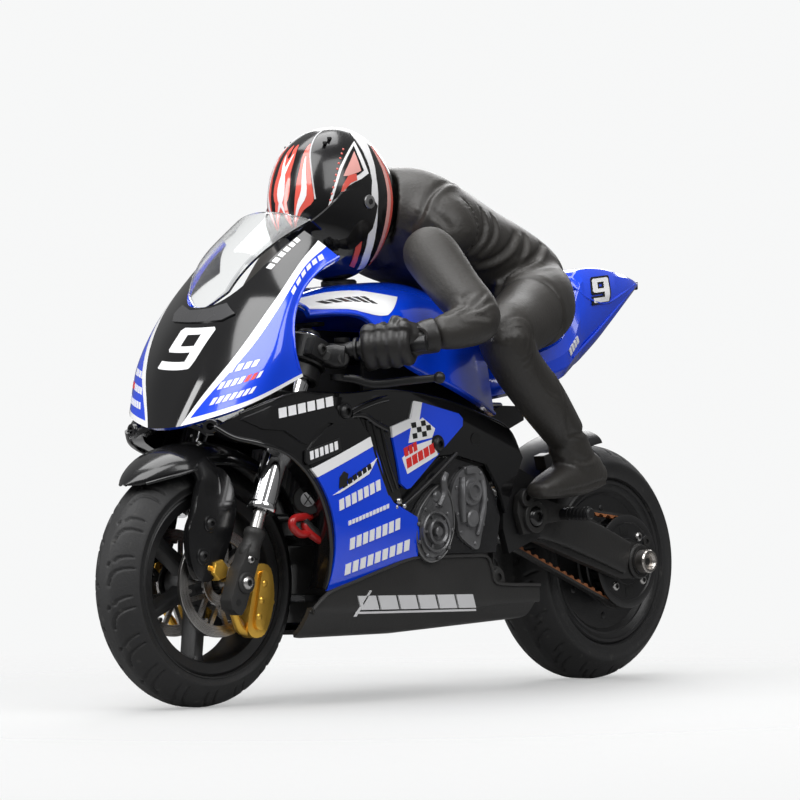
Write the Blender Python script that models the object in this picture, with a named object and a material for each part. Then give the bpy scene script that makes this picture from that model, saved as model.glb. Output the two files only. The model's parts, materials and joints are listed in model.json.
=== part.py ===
"""1:10 radio controlled racing motorcycle with its toy rider.

Lengths below are in millimetres and are turned into metres when a mesh is made.
X points forward, Y to the rider's left, Z up. The origin is on the ground,
half way along the machine.
"""
import math

import bmesh
import bpy
from mathutils import Matrix, Vector

MM = 0.001

# ---- driving dimensions -------------------------------------------------
FRONT_AXLE = Vector((71.6, 0.0, 28.8))
REAR_AXLE = Vector((-69.4, 0.0, 31.0))
FRONT_RADIUS = 28.8
REAR_RADIUS = 31.0
FRONT_HALF_WIDTH = 6.8
REAR_HALF_WIDTH = 9.2
FRONT_FLAT = 2.6
REAR_FLAT = 3.8
FORK_RAKE = math.radians(22.0)
FORK_SPACING = 15.0
FORK_OFFSET = 3.2
SWING_PIVOT = Vector((-21.0, 0.0, 43.0))
HELMET_CENTRE = Vector((25.2, 0.0, 121.2))
HELMET_PITCH = math.radians(48.0)
SHOULDER = Vector((9.5, 26.0, 106.0))
ELBOW = Vector((12.0, 41.0, 91.0))
WRIST = Vector((32.0, 37.5, 85.4))
FIST = Vector((39.5, 32.5, 83.6))
HIP = Vector((-39.0, 14.0, 99.5))
KNEE = Vector((-1.0, 33.5, 87.0))
ANKLE = Vector((-31.0, 28.0, 60.0))
TYRE_SIDES = 40
SPRING_TURNS = 4
SPRING_STEPS = 40
SHELL = 1.2
GAP = 0.35

FORK_UP = Vector((-math.sin(FORK_RAKE), 0.0, math.cos(FORK_RAKE)))
FORK_FORWARD = Vector((math.cos(FORK_RAKE), 0.0, math.sin(FORK_RAKE)))
STEER_POINT = FRONT_AXLE - FORK_FORWARD * FORK_OFFSET
SIDE = Vector((0.0, 1.0, 0.0))
LEFT_RIGHT = (("left", 1.0), ("right", -1.0))

for old in list(bpy.data.objects):
    bpy.data.objects.remove(old)


# ---- materials ----------------------------------------------------------
def material(name, colour, roughness, metallic=0.0):
    made = bpy.data.materials.new(name)
    made.use_nodes = True
    shader = made.node_tree.nodes["Principled BSDF"]
    shader.inputs["Base Color"].default_value = (*colour, 1.0)
    shader.inputs["Roughness"].default_value = roughness
    shader.inputs["Metallic"].default_value = metallic
    made.diffuse_color = (*colour, 1.0)
    return made


TYRE_RUBBER = material("tyre_rubber", (0.022, 0.022, 0.024), 0.75)
WHEEL_PLASTIC = material("wheel_plastic", (0.03, 0.03, 0.032), 0.5)
STEEL = material("steel", (0.6, 0.6, 0.6), 0.28, 1.0)
CHROME = material("chrome", (0.85, 0.85, 0.86), 0.08, 1.0)
GOLD = material("gold_anodised", (0.75, 0.48, 0.12), 0.3, 1.0)
BLACK_PLASTIC = material("black_plastic", (0.025, 0.025, 0.027), 0.45)
GLOSS_BLACK = material("gloss_black", (0.012, 0.012, 0.013), 0.1)
BLUE_PAINT = material("blue_paint", (0.01, 0.07, 0.75), 0.15)
GREY_COVER = material("grey_cover", (0.13, 0.13, 0.135), 0.4)
CLEAR = material("clear_plastic", (0.85, 0.87, 0.88), 0.05)
SEAT_FOAM = material("seat_foam", (0.04, 0.03, 0.025), 0.8)
BELT_RUBBER = material("belt_rubber", (0.05, 0.035, 0.025), 0.7)
SUIT = material("suit", (0.035, 0.034, 0.034), 0.55)
HELMET_PAINT = material("helmet_paint", (0.8, 0.25, 0.2), 0.15)
VISOR_TINT = material("visor_tint", (0.01, 0.01, 0.011), 0.06)
ALUMINIUM = material("aluminium", (0.55, 0.55, 0.56), 0.35, 1.0)
BATTERY_WRAP = material("battery_wrap", (0.02, 0.05, 0.2), 0.35)


# ---- bodies that move ---------------------------------------------------
def body(name, point, parent=None):
    empty = bpy.data.objects.new("axis_" + name, None)
    bpy.context.collection.objects.link(empty)
    empty.empty_display_size = 0.01
    base = Vector((0.0, 0.0, 0.0)) if parent is None else parent["world"]
    empty.parent = None if parent is None else parent["empty"]
    empty.location = (point - base) * MM
    return {"empty": empty, "world": point}


# ---- mesh builders ------------------------------------------------------
def tidy(mesh):
    bmesh.ops.remove_doubles(mesh, verts=mesh.verts, dist=1e-4)
    bmesh.ops.dissolve_degenerate(mesh, edges=mesh.edges, dist=1e-4)
    loose = [edge for edge in mesh.edges if not edge.link_faces]
    bmesh.ops.delete(mesh, geom=loose, context="EDGES")
    bmesh.ops.recalc_face_normals(mesh, faces=mesh.faces)
    return mesh


def loft(rings, closed=False):
    """Skin equal rings of points; the two ends are capped unless the loft closes on itself."""
    mesh = bmesh.new()
    rows = [[mesh.verts.new(point) for point in ring] for ring in rings]
    count = len(rows[0])
    pairs = list(zip(rows, rows[1:]))
    if closed:
        pairs.append((rows[-1], rows[0]))
    for near, far in pairs:
        for i in range(count):
            j = (i + 1) % count
            mesh.faces.new((near[i], near[j], far[j], far[i]))
    if not closed:
        mesh.faces.new(rows[0])
        mesh.faces.new(rows[-1])
    return tidy(mesh)


def turned(profile, origin, axis, segments=32, phase=0.0):
    """Turn a closed profile of (radius, distance along the axis) about an axis."""
    axis = axis.normalized()
    across = axis.orthogonal().normalized()
    other = axis.cross(across)
    rings = []
    for step in range(segments):
        angle = 2.0 * math.pi * (step + phase) / segments
        out = across * math.cos(angle) + other * math.sin(angle)
        rings.append([origin + out * radius + axis * along for radius, along in profile])
    return loft(rings, closed=True)


def rod(start, end, radius, segments=12):
    axis = end - start
    profile = [(0.0, 0.0), (radius, 0.0), (radius, axis.length), (0.0, axis.length)]
    return turned(profile, start, axis, segments)


def tube(start, end, radius, bore, segments=16):
    axis = end - start
    profile = [(bore, 0.0), (radius, 0.0), (radius, axis.length), (bore, axis.length)]
    return turned(profile, start, axis, segments)


def ball(centre, radius, segments=10):
    steps = segments // 2
    turn = [math.pi * step / steps for step in range(steps + 1)]
    profile = [(radius * math.sin(a), -radius * math.cos(a)) for a in turn]
    return turned(profile, centre, SIDE, segments)


def block(centre, size, tilt=0.0):
    mesh = bmesh.new()
    bmesh.ops.create_cube(mesh, size=1.0)
    bmesh.ops.scale(mesh, vec=size, verts=mesh.verts)
    bmesh.ops.rotate(mesh, matrix=Matrix.Rotation(tilt, 3, "Y"), verts=mesh.verts)
    bmesh.ops.translate(mesh, vec=centre, verts=mesh.verts)
    return mesh


def prism(outline, low, high):
    """Extrude an outline of (x, z) points from y = low to y = high."""
    rings = [[Vector((x, y, z)) for x, z in outline] for y in (low, high)]
    return loft(rings)


def oval(centre, normal, wide, half_wide, half_tall, count=16, power=2.0):
    """A superellipse ring: wide is the direction of half_wide."""
    normal = normal.normalized()
    wide = (wide - normal * wide.dot(normal)).normalized()
    tall = normal.cross(wide)
    ring = []
    for step in range(count):
        angle = 2.0 * math.pi * step / count
        c = math.cos(angle)
        s = math.sin(angle)
        u = math.copysign(abs(c) ** (2.0 / power), c)
        v = math.copysign(abs(s) ** (2.0 / power), s)
        ring.append(centre + wide * (half_wide * u) + tall * (half_tall * v))
    return ring


def curve_points(points, steps):
    """Points along a Catmull-Rom curve through the given points."""
    ends = [points[0] * 2.0 - points[1]] + list(points) + [points[-1] * 2.0 - points[-2]]
    made = []
    for i in range(1, len(ends) - 2):
        a, b, c, d = ends[i - 1], ends[i], ends[i + 1], ends[i + 2]
        for step in range(steps):
            t = step / steps
            made.append(
                (b * 2.0 + (c - a) * t + (a * 2.0 - b * 5.0 + c * 4.0 - d) * t ** 2
                 + (b * 3.0 - a - c * 3.0 + d) * t ** 3) * 0.5
            )
    made.append(points[-1].copy())
    return made


def limb(stations, steps=2, count=10, grow=0.0, wide=SIDE):
    """A smooth limb through (centre, half width, half depth) stations."""
    centres = curve_points([s[0] for s in stations], steps)
    sizes = curve_points([Vector((s[1], s[2], 0.0)) for s in stations], steps)
    rings = []
    for i, centre in enumerate(centres):
        ahead = centres[min(i + 1, len(centres) - 1)]
        behind = centres[max(i - 1, 0)]
        size = sizes[i]
        rings.append(oval(centre, ahead - behind, wide, size.x + grow, size.y + grow, count))
    return loft(rings)


def skin(grid, thickness):
    """Thicken an open grid of points inward (against its normal) into one closed shell."""
    rows = len(grid)
    cols = len(grid[0])
    inner = []
    for i in range(rows):
        line = []
        for j in range(cols):
            down = grid[min(i + 1, rows - 1)][j] - grid[max(i - 1, 0)][j]
            along = grid[i][min(j + 1, cols - 1)] - grid[i][max(j - 1, 0)]
            line.append(grid[i][j] - down.cross(along).normalized() * thickness)
        inner.append(line)
    mesh = bmesh.new()
    top = [[mesh.verts.new(p) for p in line] for line in grid]
    under = [[mesh.verts.new(p) for p in line] for line in inner]
    for i in range(rows - 1):
        for j in range(cols - 1):
            mesh.faces.new((top[i][j], top[i + 1][j], top[i + 1][j + 1], top[i][j + 1]))
            mesh.faces.new((under[i][j], under[i][j + 1], under[i + 1][j + 1], under[i + 1][j]))
    for i in range(rows - 1):
        for j in (0, cols - 1):
            mesh.faces.new((top[i][j], top[i + 1][j], under[i + 1][j], under[i][j]))
    for j in range(cols - 1):
        for i in (0, rows - 1):
            mesh.faces.new((top[i][j], top[i][j + 1], under[i][j + 1], under[i][j]))
    return tidy(mesh)


def panel(outline, surface, thickness, cell=10.0):
    """A thin side panel: an (x, z) outline bent to y = surface(x, z) and thickened inward."""
    mesh = bmesh.new()
    mesh.faces.new([mesh.verts.new((x, 0.0, z)) for x, z in outline])
    for axis, column in ((Vector((1, 0, 0)), 0), (Vector((0, 0, 1)), 1)):
        low = min(p[column] for p in outline)
        high = max(p[column] for p in outline)
        for step in range(1, int((high - low) / cell) + 1):
            geometry = mesh.verts[:] + mesh.edges[:] + mesh.faces[:]
            cut_at = axis * (low + cell * step)
            bmesh.ops.bisect_plane(mesh, geom=geometry, plane_co=cut_at, plane_no=axis, dist=0.05)
    bmesh.ops.triangulate(mesh, faces=mesh.faces)
    outer = list(mesh.verts)
    faces = [tuple(face.verts) for face in mesh.faces]
    border = [tuple(edge.verts) for edge in mesh.edges if len(edge.link_faces) == 1]
    for vert in outer:
        vert.co.y = surface(vert.co.x, vert.co.z)
    inner = {vert: mesh.verts.new(vert.co - SIDE * thickness) for vert in outer}
    for corners in faces:
        mesh.faces.new([inner[v] for v in reversed(corners)])
    for a, b in border:
        mesh.faces.new((a, b, inner[b], inner[a]))
    return tidy(mesh)


def mirrored(mesh):
    copy = mesh.copy()
    bmesh.ops.scale(copy, vec=(1.0, -1.0, 1.0), verts=copy.verts)
    bmesh.ops.recalc_face_normals(copy, faces=copy.faces)
    return copy


def combine(base, others, operation="UNION"):
    """Boolean the other meshes into the base one at a time."""
    for other in others:
        pair = []
        for mesh in (base, other):
            data = bpy.data.meshes.new("working")
            mesh.to_mesh(data)
            holder = bpy.data.objects.new("working", data)
            bpy.context.collection.objects.link(holder)
            pair.append(holder)
        tool = pair[0].modifiers.new("cut", "BOOLEAN")
        tool.operation = operation
        tool.object = pair[1]
        seen = pair[0].evaluated_get(bpy.context.evaluated_depsgraph_get())
        base = bmesh.new()
        base.from_mesh(seen.to_mesh())
        for holder in pair:
            bpy.data.objects.remove(holder)
        tidy(base)
    return base


def node(name, mesh, finish, owner=None, sharp=35.0):
    data = bpy.data.meshes.new(name)
    bmesh.ops.scale(mesh, vec=(MM, MM, MM), verts=mesh.verts)
    mesh.to_mesh(data)
    data.materials.append(finish)
    data.shade_smooth()
    data.set_sharp_from_angle(angle=math.radians(sharp))
    made = bpy.data.objects.new(name, data)
    bpy.context.collection.objects.link(made)
    if owner is not None:
        data.transform(Matrix.Translation(-owner["world"] * MM))
        made.parent = owner["empty"]
    return made


def pair_of(name, mesh, finish, owner=None):
    """The left piece and its mirror image on the right."""
    right = mirrored(mesh)
    node(name + "_left", mesh, finish, owner)
    node(name + "_right", right, finish, owner)


def on_fork(along, across=0.0, ahead=0.0):
    """A point given by its distance up the fork line from the front axle."""
    return FRONT_AXLE + FORK_UP * along + SIDE * across + FORK_FORWARD * ahead


def at_side(point, side):
    return Vector((point.x, point.y * side, point.z))


# ---- wheels -------------------------------------------------------------
def tyre_profile(radius, half, flat, drop, bead):
    """Half a tyre's section mirrored; a flat facet of the tread, not a corner, meets the ground."""
    side = [
        (radius / math.cos(math.pi / TYRE_SIDES), flat),
        (radius - 0.35 * drop, flat + 0.52 * (half - flat)),
        (radius - drop, half),
        (0.5 * (radius - drop + bead), half + 0.1),
        (bead, half - 0.9),
    ]
    return side + [(r, -y) for r, y in reversed(side)]


def front_wheel(owner):
    profile = tyre_profile(FRONT_RADIUS, FRONT_HALF_WIDTH, FRONT_FLAT, 5.0, 21.7)
    node("front_tyre", turned(profile, FRONT_AXLE, SIDE, TYRE_SIDES, 0.5), TYRE_RUBBER, owner)
    rim = turned([(18.3, -5.2), (21.4, -5.6), (21.4, 5.6), (18.3, 5.2)], FRONT_AXLE, SIDE, 36)
    hub = turned([(1.8, -6.8), (5.2, -6.8), (5.2, 6.8), (1.8, 6.8)], FRONT_AXLE, SIDE, 16)
    spokes = []
    for step in range(6):
        angle = math.radians(36.0 + 60.0 * step)
        out = Vector((math.cos(angle), 0.0, math.sin(angle)))
        across = out.cross(SIDE)
        rings = []
        for reach, half in ((4.2, 1.7), (19.2, 1.25)):
            middle = FRONT_AXLE + out * reach
            rings.append([
                middle + across * half + SIDE * 3.0,
                middle - across * half + SIDE * 3.0,
                middle - across * half - SIDE * 3.0,
                middle + across * half - SIDE * 3.0,
            ])
        spokes.append(loft(rings))
    node("front_rim", combine(rim, [hub] + spokes), WHEEL_PLASTIC, owner)
    disc = turned([(2.6, 7.2), (12.6, 7.2), (12.6, 8.2), (2.6, 8.2)], FRONT_AXLE, SIDE, 28)
    pair_of("brake_disc", disc, STEEL, owner)


def rear_wheel(owner):
    profile = tyre_profile(REAR_RADIUS, REAR_HALF_WIDTH, REAR_FLAT, 4.8, 22.0)
    node("rear_tyre", turned(profile, REAR_AXLE, SIDE, TYRE_SIDES, 0.5), TYRE_RUBBER, owner)
    half = [(21.7, 7.6), (20.9, 8.4), (19.6, 8.2), (17.8, 6.0), (7.0, 6.6), (5.4, 8.4), (1.8, 8.4)]
    disc = half + [(r, -y) for r, y in reversed(half)]
    node("rear_rim", turned(disc, REAR_AXLE, SIDE, 24), WHEEL_PLASTIC, owner)
    pulley = [
        (1.8, 8.8), (9.0, 8.8), (9.0, 10.4), (12.2, 10.4), (12.2, 11.3), (10.9, 11.3),
        (10.9, 14.3), (12.2, 14.3), (12.2, 15.0), (1.8, 15.0),
    ]
    node("rear_pulley", turned(pulley, REAR_AXLE, SIDE, 24), BLACK_PLASTIC, owner)


# ---- front fork and steering -------------------------------------------
def fork_slider(owner):
    for name, side in LEFT_RIGHT:
        y = FORK_SPACING * side
        stanchion = rod(on_fork(6.0, y), on_fork(44.0, y), 1.55)
        sleeve = rod(on_fork(5.0, y), on_fork(12.0, y), 2.2, 20)
        lug = prism(fork_lug_outline(), y - 2.0, y + 2.0)
        axle_bore = rod(Vector((FRONT_AXLE.x, y - 4.0, FRONT_AXLE.z)),
                        Vector((FRONT_AXLE.x, y + 4.0, FRONT_AXLE.z)), 1.85)
        leg = combine(combine(lug, [sleeve, stanchion]), [axle_bore], "DIFFERENCE")
        node("fork_leg_" + name, leg, BLACK_PLASTIC, owner)
    node("front_axle", rod(FRONT_AXLE - SIDE * 16.8, FRONT_AXLE + SIDE * 16.8, 1.5), STEEL, owner)
    caliper = combine(
        prism([(57.8, 31.6), (62.4, 33.4), (64.6, 31.4), (67.4, 18.6), (65.0, 15.6), (60.4, 17.0),
               (57.2, 24.0)], 9.0, 12.6),
        [block(Vector((60.6, 8.6, 24.6)), (5.4, 5.2, 11.6), 0.2)],
    )
    slot = rod(FRONT_AXLE + SIDE * 6.6, FRONT_AXLE + SIDE * 8.8, 13.2, 28)
    caliper = combine(caliper, [slot], "DIFFERENCE")
    pair_of("brake_caliper", caliper, GOLD, owner)
    front_fender(owner)


def fork_lug_outline():
    """The flat lower leg in side view, drawn along the fork line."""
    corners = [(-6.6, -1.9), (-6.6, 2.4), (6.2, 2.4), (8.0, 1.9), (8.0, -1.9)]
    points = [on_fork(along, 0.0, ahead) for along, ahead in corners]
    return [(p.x, p.z) for p in points]


def front_fender(owner):
    rings = []
    for step in range(12):
        angle = math.radians(48.0 + 9.2 * step)
        out = Vector((math.cos(angle), 0.0, math.sin(angle)))
        narrow = 0.25 + 0.75 * min(1.0, step / 3.0)
        outer = [(-8.6, 27.6), (-7.6, 30.4), (-4.0, 32.2), (0.0, 32.8),
                 (4.0, 32.2), (7.6, 30.4), (8.6, 27.6)]
        inner = [(y * 0.88, r - 1.1) for y, r in reversed(outer)]
        rings.append([
            FRONT_AXLE + out * (31.8 + (r - 31.8) * narrow) + SIDE * (y * narrow)
            for y, r in outer + inner
        ])
    arch = loft(rings)
    skirts = []
    outline = [(82.0, 45.0), (83.0, 37.0), (82.0, 30.0), (78.6, 29.4), (74.6, 31.6), (69.0, 42.0),
               (70.0, 54.0), (79.6, 53.0)]
    for side in (1.0, -1.0):
        skirts.append(prism(outline, *sorted((8.7 * side, 10.8 * side))))
    bridges = []
    for side in (1.0, -1.0):
        bridges.append(block(Vector((75.0, 9.0 * side, 55.0)), (7.4, 3.0, 4.4)))
    node("front_fender", combine(arch, bridges + skirts), GLOSS_BLACK, owner)


def steering_parts(owner):
    for name, side in LEFT_RIGHT:
        y = FORK_SPACING * side
        node("fork_tube_" + name, tube(on_fork(17.7, y), on_fork(62.0, y), 3.25, 1.9), CHROME, owner)
    lower = prism(yoke_outline(41.4, 45.6), -11.4, 11.4)
    upper = prism(yoke_outline(51.0, 53.6), -11.4, 11.4)
    for plate, name, low, high in ((lower, "lower_yoke", 41.0, 46.0), (upper, "upper_yoke", 50.6, 54.0)):
        rings = []
        for side in (1.0, -1.0):
            y = FORK_SPACING * side
            rings.append(tube(on_fork(low, y), on_fork(high, y), 5.0, 3.6))
        made = combine(plate, rings)
        if name == "lower_yoke":
            stem = rod(STEER_POINT + FORK_UP * 43.0, STEER_POINT + FORK_UP * 56.0, 1.6)
            made = combine(made, [stem])
        else:
            hole = rod(STEER_POINT + FORK_UP * 49.0, STEER_POINT + FORK_UP * 56.0, 1.95)
            made = combine(made, [hole], "DIFFERENCE")
        node(name, made, BLACK_PLASTIC, owner)
    for name, side in LEFT_RIGHT:
        node("handlebar_" + name, handlebar(side), BLACK_PLASTIC, owner)
        node("rider_hand_" + name, rider_hand(side), SUIT, owner)


def yoke_outline(low, high):
    corners = [(low, -6.2), (high, -6.2), (high, 2.2), (low, 2.2)]
    points = [on_fork(along, 0.0, ahead) for along, ahead in corners]
    return [(p.x, p.z) for p in points]


def bar_line(side):
    start = at_side(Vector((46.9, 19.6, 82.4)), side)
    end = at_side(Vector((35.6, 41.0, 83.8)), side)
    return start, end


def handlebar(side):
    y = FORK_SPACING * side
    clamp = tube(on_fork(54.4, y), on_fork(60.6, y), 5.8, 3.6)
    start, end = bar_line(side)
    along = (end - start).normalized()
    grip = rod(start - along * 2.0, end, 1.9)
    cylinder = block(start + along * 3.4 + Vector((0.0, 0.0, -1.6)), (6.0, 5.4, 6.4))
    collars = []
    for reach in (7.4, 9.1):
        collars.append(rod(start + along * reach, start + along * (reach + 0.8), 2.9))
    bar = combine(clamp, [grip, cylinder] + collars)
    return combine(bar, [rod(on_fork(50.0, y), on_fork(66.0, y), 3.6, 16)], "DIFFERENCE")


def rider_hand(side):
    start, end = bar_line(side)
    along = (end - start).normalized()
    fist = at_side(FIST, side)
    knuckles = rod(fist - along * 4.6, fist + along * 5.8, 5.6, 16)
    back = limb([
        (at_side(WRIST, side) + (fist - at_side(WRIST, side)) * 0.12, 4.9, 4.4),
        (at_side(WRIST, side) + (fist - at_side(WRIST, side)) * 0.5, 5.6, 4.6),
        (fist + Vector((0.6, 0.0, 0.6)), 5.6, 4.8),
    ])
    hand = combine(knuckles, [back])
    bore = rod(start - along, end + along * 4.0, 2.25)
    cuff = rod(at_side(WRIST, side) - (fist - at_side(WRIST, side)) * 0.3,
               at_side(WRIST, side) + (fist - at_side(WRIST, side)) * 0.5, 3.4)
    return combine(hand, [bore, cuff], "DIFFERENCE")


def hand_lever(side):
    path = [
        Vector((45.6, 21.6, 76.2)),
        Vector((43.4, 24.6, 76.0)),
        Vector((40.2, 28.6, 74.2)),
        Vector((35.4, 34.4, 75.0)),
        Vector((30.4, 40.0, 75.8)),
    ]
    stations = [(at_side(p, side), 0.9, 0.8) for p in path]
    blade = limb(stations, 2, 8, 0.0, Vector((0.0, 0.0, 1.0)))
    tip = ball(at_side(path[-1], side), 1.5, 8)
    boss = rod(at_side(Vector((45.6, 21.6, 75.8)), side), at_side(Vector((45.6, 21.6, 77.0)), side), 1.8)
    return combine(boss, [blade, tip])


# ---- chassis ------------------------------------------------------------
def chassis():
    spine = prism([(44.0, 66.0), (41.0, 80.0), (30.0, 80.0), (4.0, 66.0), (-14.0, 62.0), (-26.6, 56.0),
                   (-26.6, 52.0), (-14.0, 51.6), (-2.0, 52.0), (20.0, 58.0)], -8.0, 8.0)
    head = tube(STEER_POINT + FORK_UP * 46.4, STEER_POINT + FORK_UP * 50.2, 4.8, 2.0)
    neck = prism([(44.0, 66.4), (47.4, 66.4), (46.2, 72.2), (42.0, 74.0)], -3.6, 3.6)
    cheeks = []
    for side in (1.0, -1.0):
        cheeks.append(prism([(-12.0, 54.0), (-14.0, 57.0), (-26.0, 52.0), (-26.0, 38.0), (-14.0, 34.0),
                             (-12.0, 40.0)], *sorted((20.0 * side, 22.0 * side))))
        cheeks.append(block(Vector((-13.4, 14.0 * side, 53.9)), (5.6, 14.6, 4.0)))
        rails = prism([(-10.0, 63.0), (-12.0, 58.0), (-37.0, 68.0), (-37.0, 71.6), (-28.0, 71.6)],
                      *sorted((5.2 * side, 7.8 * side)))
        cheeks.append(rails)
    frame = combine(spine, [neck, head] + cheeks)
    shaft = rod(SWING_PIVOT - SIDE * 30.0, SWING_PIVOT + SIDE * 30.0, 1.85)
    head_bore = rod(STEER_POINT + FORK_UP * 40.0, STEER_POINT + FORK_UP * 56.0, 2.0)
    node("main_frame", combine(frame, [shaft, head_bore], "DIFFERENCE"), BLACK_PLASTIC)
    tray = block(Vector((13.0, 0.0, 27.5)), (54.0, 30.0, 18.0))
    hollow = block(Vector((13.0, 0.0, 29.0)), (51.0, 27.0, 18.0))
    window = block(Vector((39.0, 0.0, 28.0)), (6.0, 22.0, 9.0))
    node("battery_tray", combine(tray, [hollow, window], "DIFFERENCE"), BLACK_PLASTIC)
    node("battery_pack", block(Vector((13.0, 0.0, 28.4)), (48.0, 24.0, 16.0)), BATTERY_WRAP)
    node("speed_controller", block(Vector((24.0, 0.0, 44.4)), (20.0, 22.0, 10.0)), BLACK_PLASTIC)
    node("steering_servo", block(Vector((30.0, 0.0, 84.6)), (16.0, 12.0, 8.0)), BLACK_PLASTIC)
    motor = combine(
        rod(SWING_PIVOT - SIDE * 10.0, SWING_PIVOT + SIDE * 9.6, 7.6, 24),
        [rod(SWING_PIVOT + SIDE * 9.0, SWING_PIVOT + SIDE * 15.6, 0.8, 10)],
    )
    node("motor", motor, STEEL)
    for name, side in LEFT_RIGHT:
        bolt = combine(
            rod(SWING_PIVOT + SIDE * (16.2 * side), SWING_PIVOT + SIDE * (25.0 * side), 1.5),
            [rod(SWING_PIVOT + SIDE * (24.4 * side), SWING_PIVOT + SIDE * (26.2 * side), 2.6)],
        )
        node("swing_pivot_" + name, bolt, STEEL)
    node("radiator", block(Vector((36.6, 0.0, 52.4)), (3.4, 34.0, 16.0), -0.25), GREY_COVER)


def fairing_side(x, z):
    """Half width of the side fairing: fullest near mid height, narrow at the nose."""
    nose = max(0.0, x - 44.0) / 36.0
    return 24.0 - 2.2 * ((z - 52.0) / 22.0) ** 2 - 3.2 * nose ** 1.6


def side_fairings():
    outline = [
        (78.6, 64.8), (75.7, 61.9), (68.0, 58.6), (60.2, 55.2), (54.4, 49.4), (51.2, 42.0), (50.0, 34.2), (50.0, 27.4),
        (36.0, 31.0), (31.0, 32.2), (31.5, 44.0), (28.0, 52.0), (21.0, 57.5), (8.0, 58.5), (-4.0, 56.0),
        (-8.5, 50.0), (-11.0, 44.0), (-13.4, 50.0), (-17.4, 57.8), (-12.4, 65.4), (4.0, 69.4),
        (22.0, 73.2), (40.0, 73.4), (58.0, 72.4), (70.0, 66.6),
    ]
    pair_of("side_fairing", panel(outline, fairing_side, SHELL), GLOSS_BLACK)
    outline = [
        (30.4, 34.4), (30.9, 43.8), (27.4, 51.6), (20.6, 56.9), (8.0, 57.9), (-3.7, 55.4),
        (-8.0, 49.6), (-10.4, 43.0), (-8.6, 34.4),
    ]
    base = panel(outline, lambda x, z: 22.4, SHELL, 20.0)
    bumps = []
    for centre, radius, height in (((18.4, 0.0, 42.2), 7.2, 3.0), ((2.6, 0.0, 45.0), 6.0, 2.4)):
        middle = Vector(centre)
        bumps.append(turned(
            [(0.0, 21.4), (radius, 21.4), (radius, 21.6 + height * 0.6), (radius - 1.0, 21.4 + height),
             (0.0, 21.4 + height)], middle, SIDE, 18))
    pair_of("engine_cover", combine(base, bumps), GREY_COVER)


def wheel_notch(y):
    """How much of the pan's front is cut away at this half width, to let the wheel steer."""
    return min(1.0, max(0.0, (17.0 - abs(y)) / 12.0))


def belly_pan():
    rows = []
    for x, top in ((57.0, 21.6), (50.0, 26.6), (36.0, 30.2), (22.0, 33.7), (4.0, 33.7), (-6.0, 33.7),
                   (-10.0, 26.4), (-25.0, 26.0)):
        foot = 15.4 + max(0.0, 22.0 - x) * 0.045
        side = [(22.6, top), (22.6, 0.5 * (top + 21.5)), (21.4, foot + 4.6), (18.0, foot + 1.0),
                (12.0, foot)]
        line = side + [(0.0, foot)] + [(-y, z) for y, z in reversed(side)]
        ahead = max(0.0, x - 36.0)
        rows.append([Vector((x - ahead * wheel_notch(y), y, z)) for y, z in line])
    node("belly_pan", skin(rows, SHELL), BLACK_PLASTIC)


def grid_from(control, row_steps, column_steps):
    """Refine a grid of control points both ways with smooth curves."""
    rows = [curve_points(line, column_steps) for line in control]
    columns = [curve_points([row[j] for row in rows], row_steps) for j in range(len(rows[0]))]
    return [[column[i] for column in columns] for i in range(len(columns[0]))]


NOSE_ROWS = (
    ((81.6, 0.0, 64.6), (80.2, 8.0, 65.4), (73.4, 20.4, 69.4), (60.0, 24.6, 76.0)),
    ((76.6, 0.0, 77.0), (75.4, 10.0, 78.0), (69.0, 22.4, 80.4), (62.0, 24.2, 82.6)),
    ((70.6, 0.0, 90.6), (69.0, 9.6, 91.0), (63.4, 20.8, 91.6), (59.6, 22.2, 91.8)),
    ((61.0, 0.0, 103.4), (59.4, 9.0, 103.4), (55.4, 18.4, 102.0), (52.4, 20.6, 99.6)),
    ((50.2, 0.0, 115.6), (49.4, 8.6, 114.2), (47.6, 16.4, 109.6), (44.0, 21.4, 104.6)),
)


def mirror_row(points):
    right = [Vector((x, -y, z)) for x, y, z in reversed(points)]
    left = [Vector(p) for p in points[1:]]
    return right + left


def nose():
    control = [mirror_row(line) for line in NOSE_ROWS]
    grid = grid_from(control, 2, 2)
    whole = skin(grid, -SHELL)
    low, high = 92.2, 130.0
    window = loft([
        [Vector((30.0, -18.4, high)), Vector((30.0, 18.4, high)),
         Vector((90.0, 18.4, high)), Vector((90.0, -18.4, high))],
        [Vector((30.0, -6.4, low)), Vector((30.0, 6.4, low)),
         Vector((90.0, 6.4, low)), Vector((90.0, -6.4, low))],
    ])
    node("nose_cowl", combine(whole, [window], "DIFFERENCE"), BLUE_PAINT)
    rows = []
    for step in range(8):
        t = step / 7.0
        x = 69.4 - 19.6 * t + 3.2 * math.sin(math.pi * t)
        z = 93.0 + 23.6 * t
        half = 6.0 + 6.6 * t
        across = (-half, -half * 0.5, 0.0, half * 0.5, half)
        rows.append([Vector((x - 0.02 * y * y, y, z - 0.012 * y * y * t)) for y in across])
    node("windscreen", skin(rows, -0.9), CLEAR)
    node("nose_duct", duct_wings(), GLOSS_BLACK)


def duct_wings():
    """The dark underside of the nose, a shallow arch between its two lower corners."""
    rows = []
    for x, z, drop in ((79.0, 64.2, 1.0), (75.0, 65.4, 1.8), (71.0, 66.8, 2.0), (67.0, 68.4, 1.2)):
        half = 17.6 - max(0.0, x - 66.0) * 0.35
        points = [(-half, z - drop), (-half * 0.75, z + 0.2), (-half * 0.4, z + 1.7),
                  (half * 0.4, z + 1.7), (half * 0.75, z + 0.2), (half, z - drop)]
        rows.append([Vector((x, y, h)) for y, h in points])
    return skin(rows, -1.0)


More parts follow.
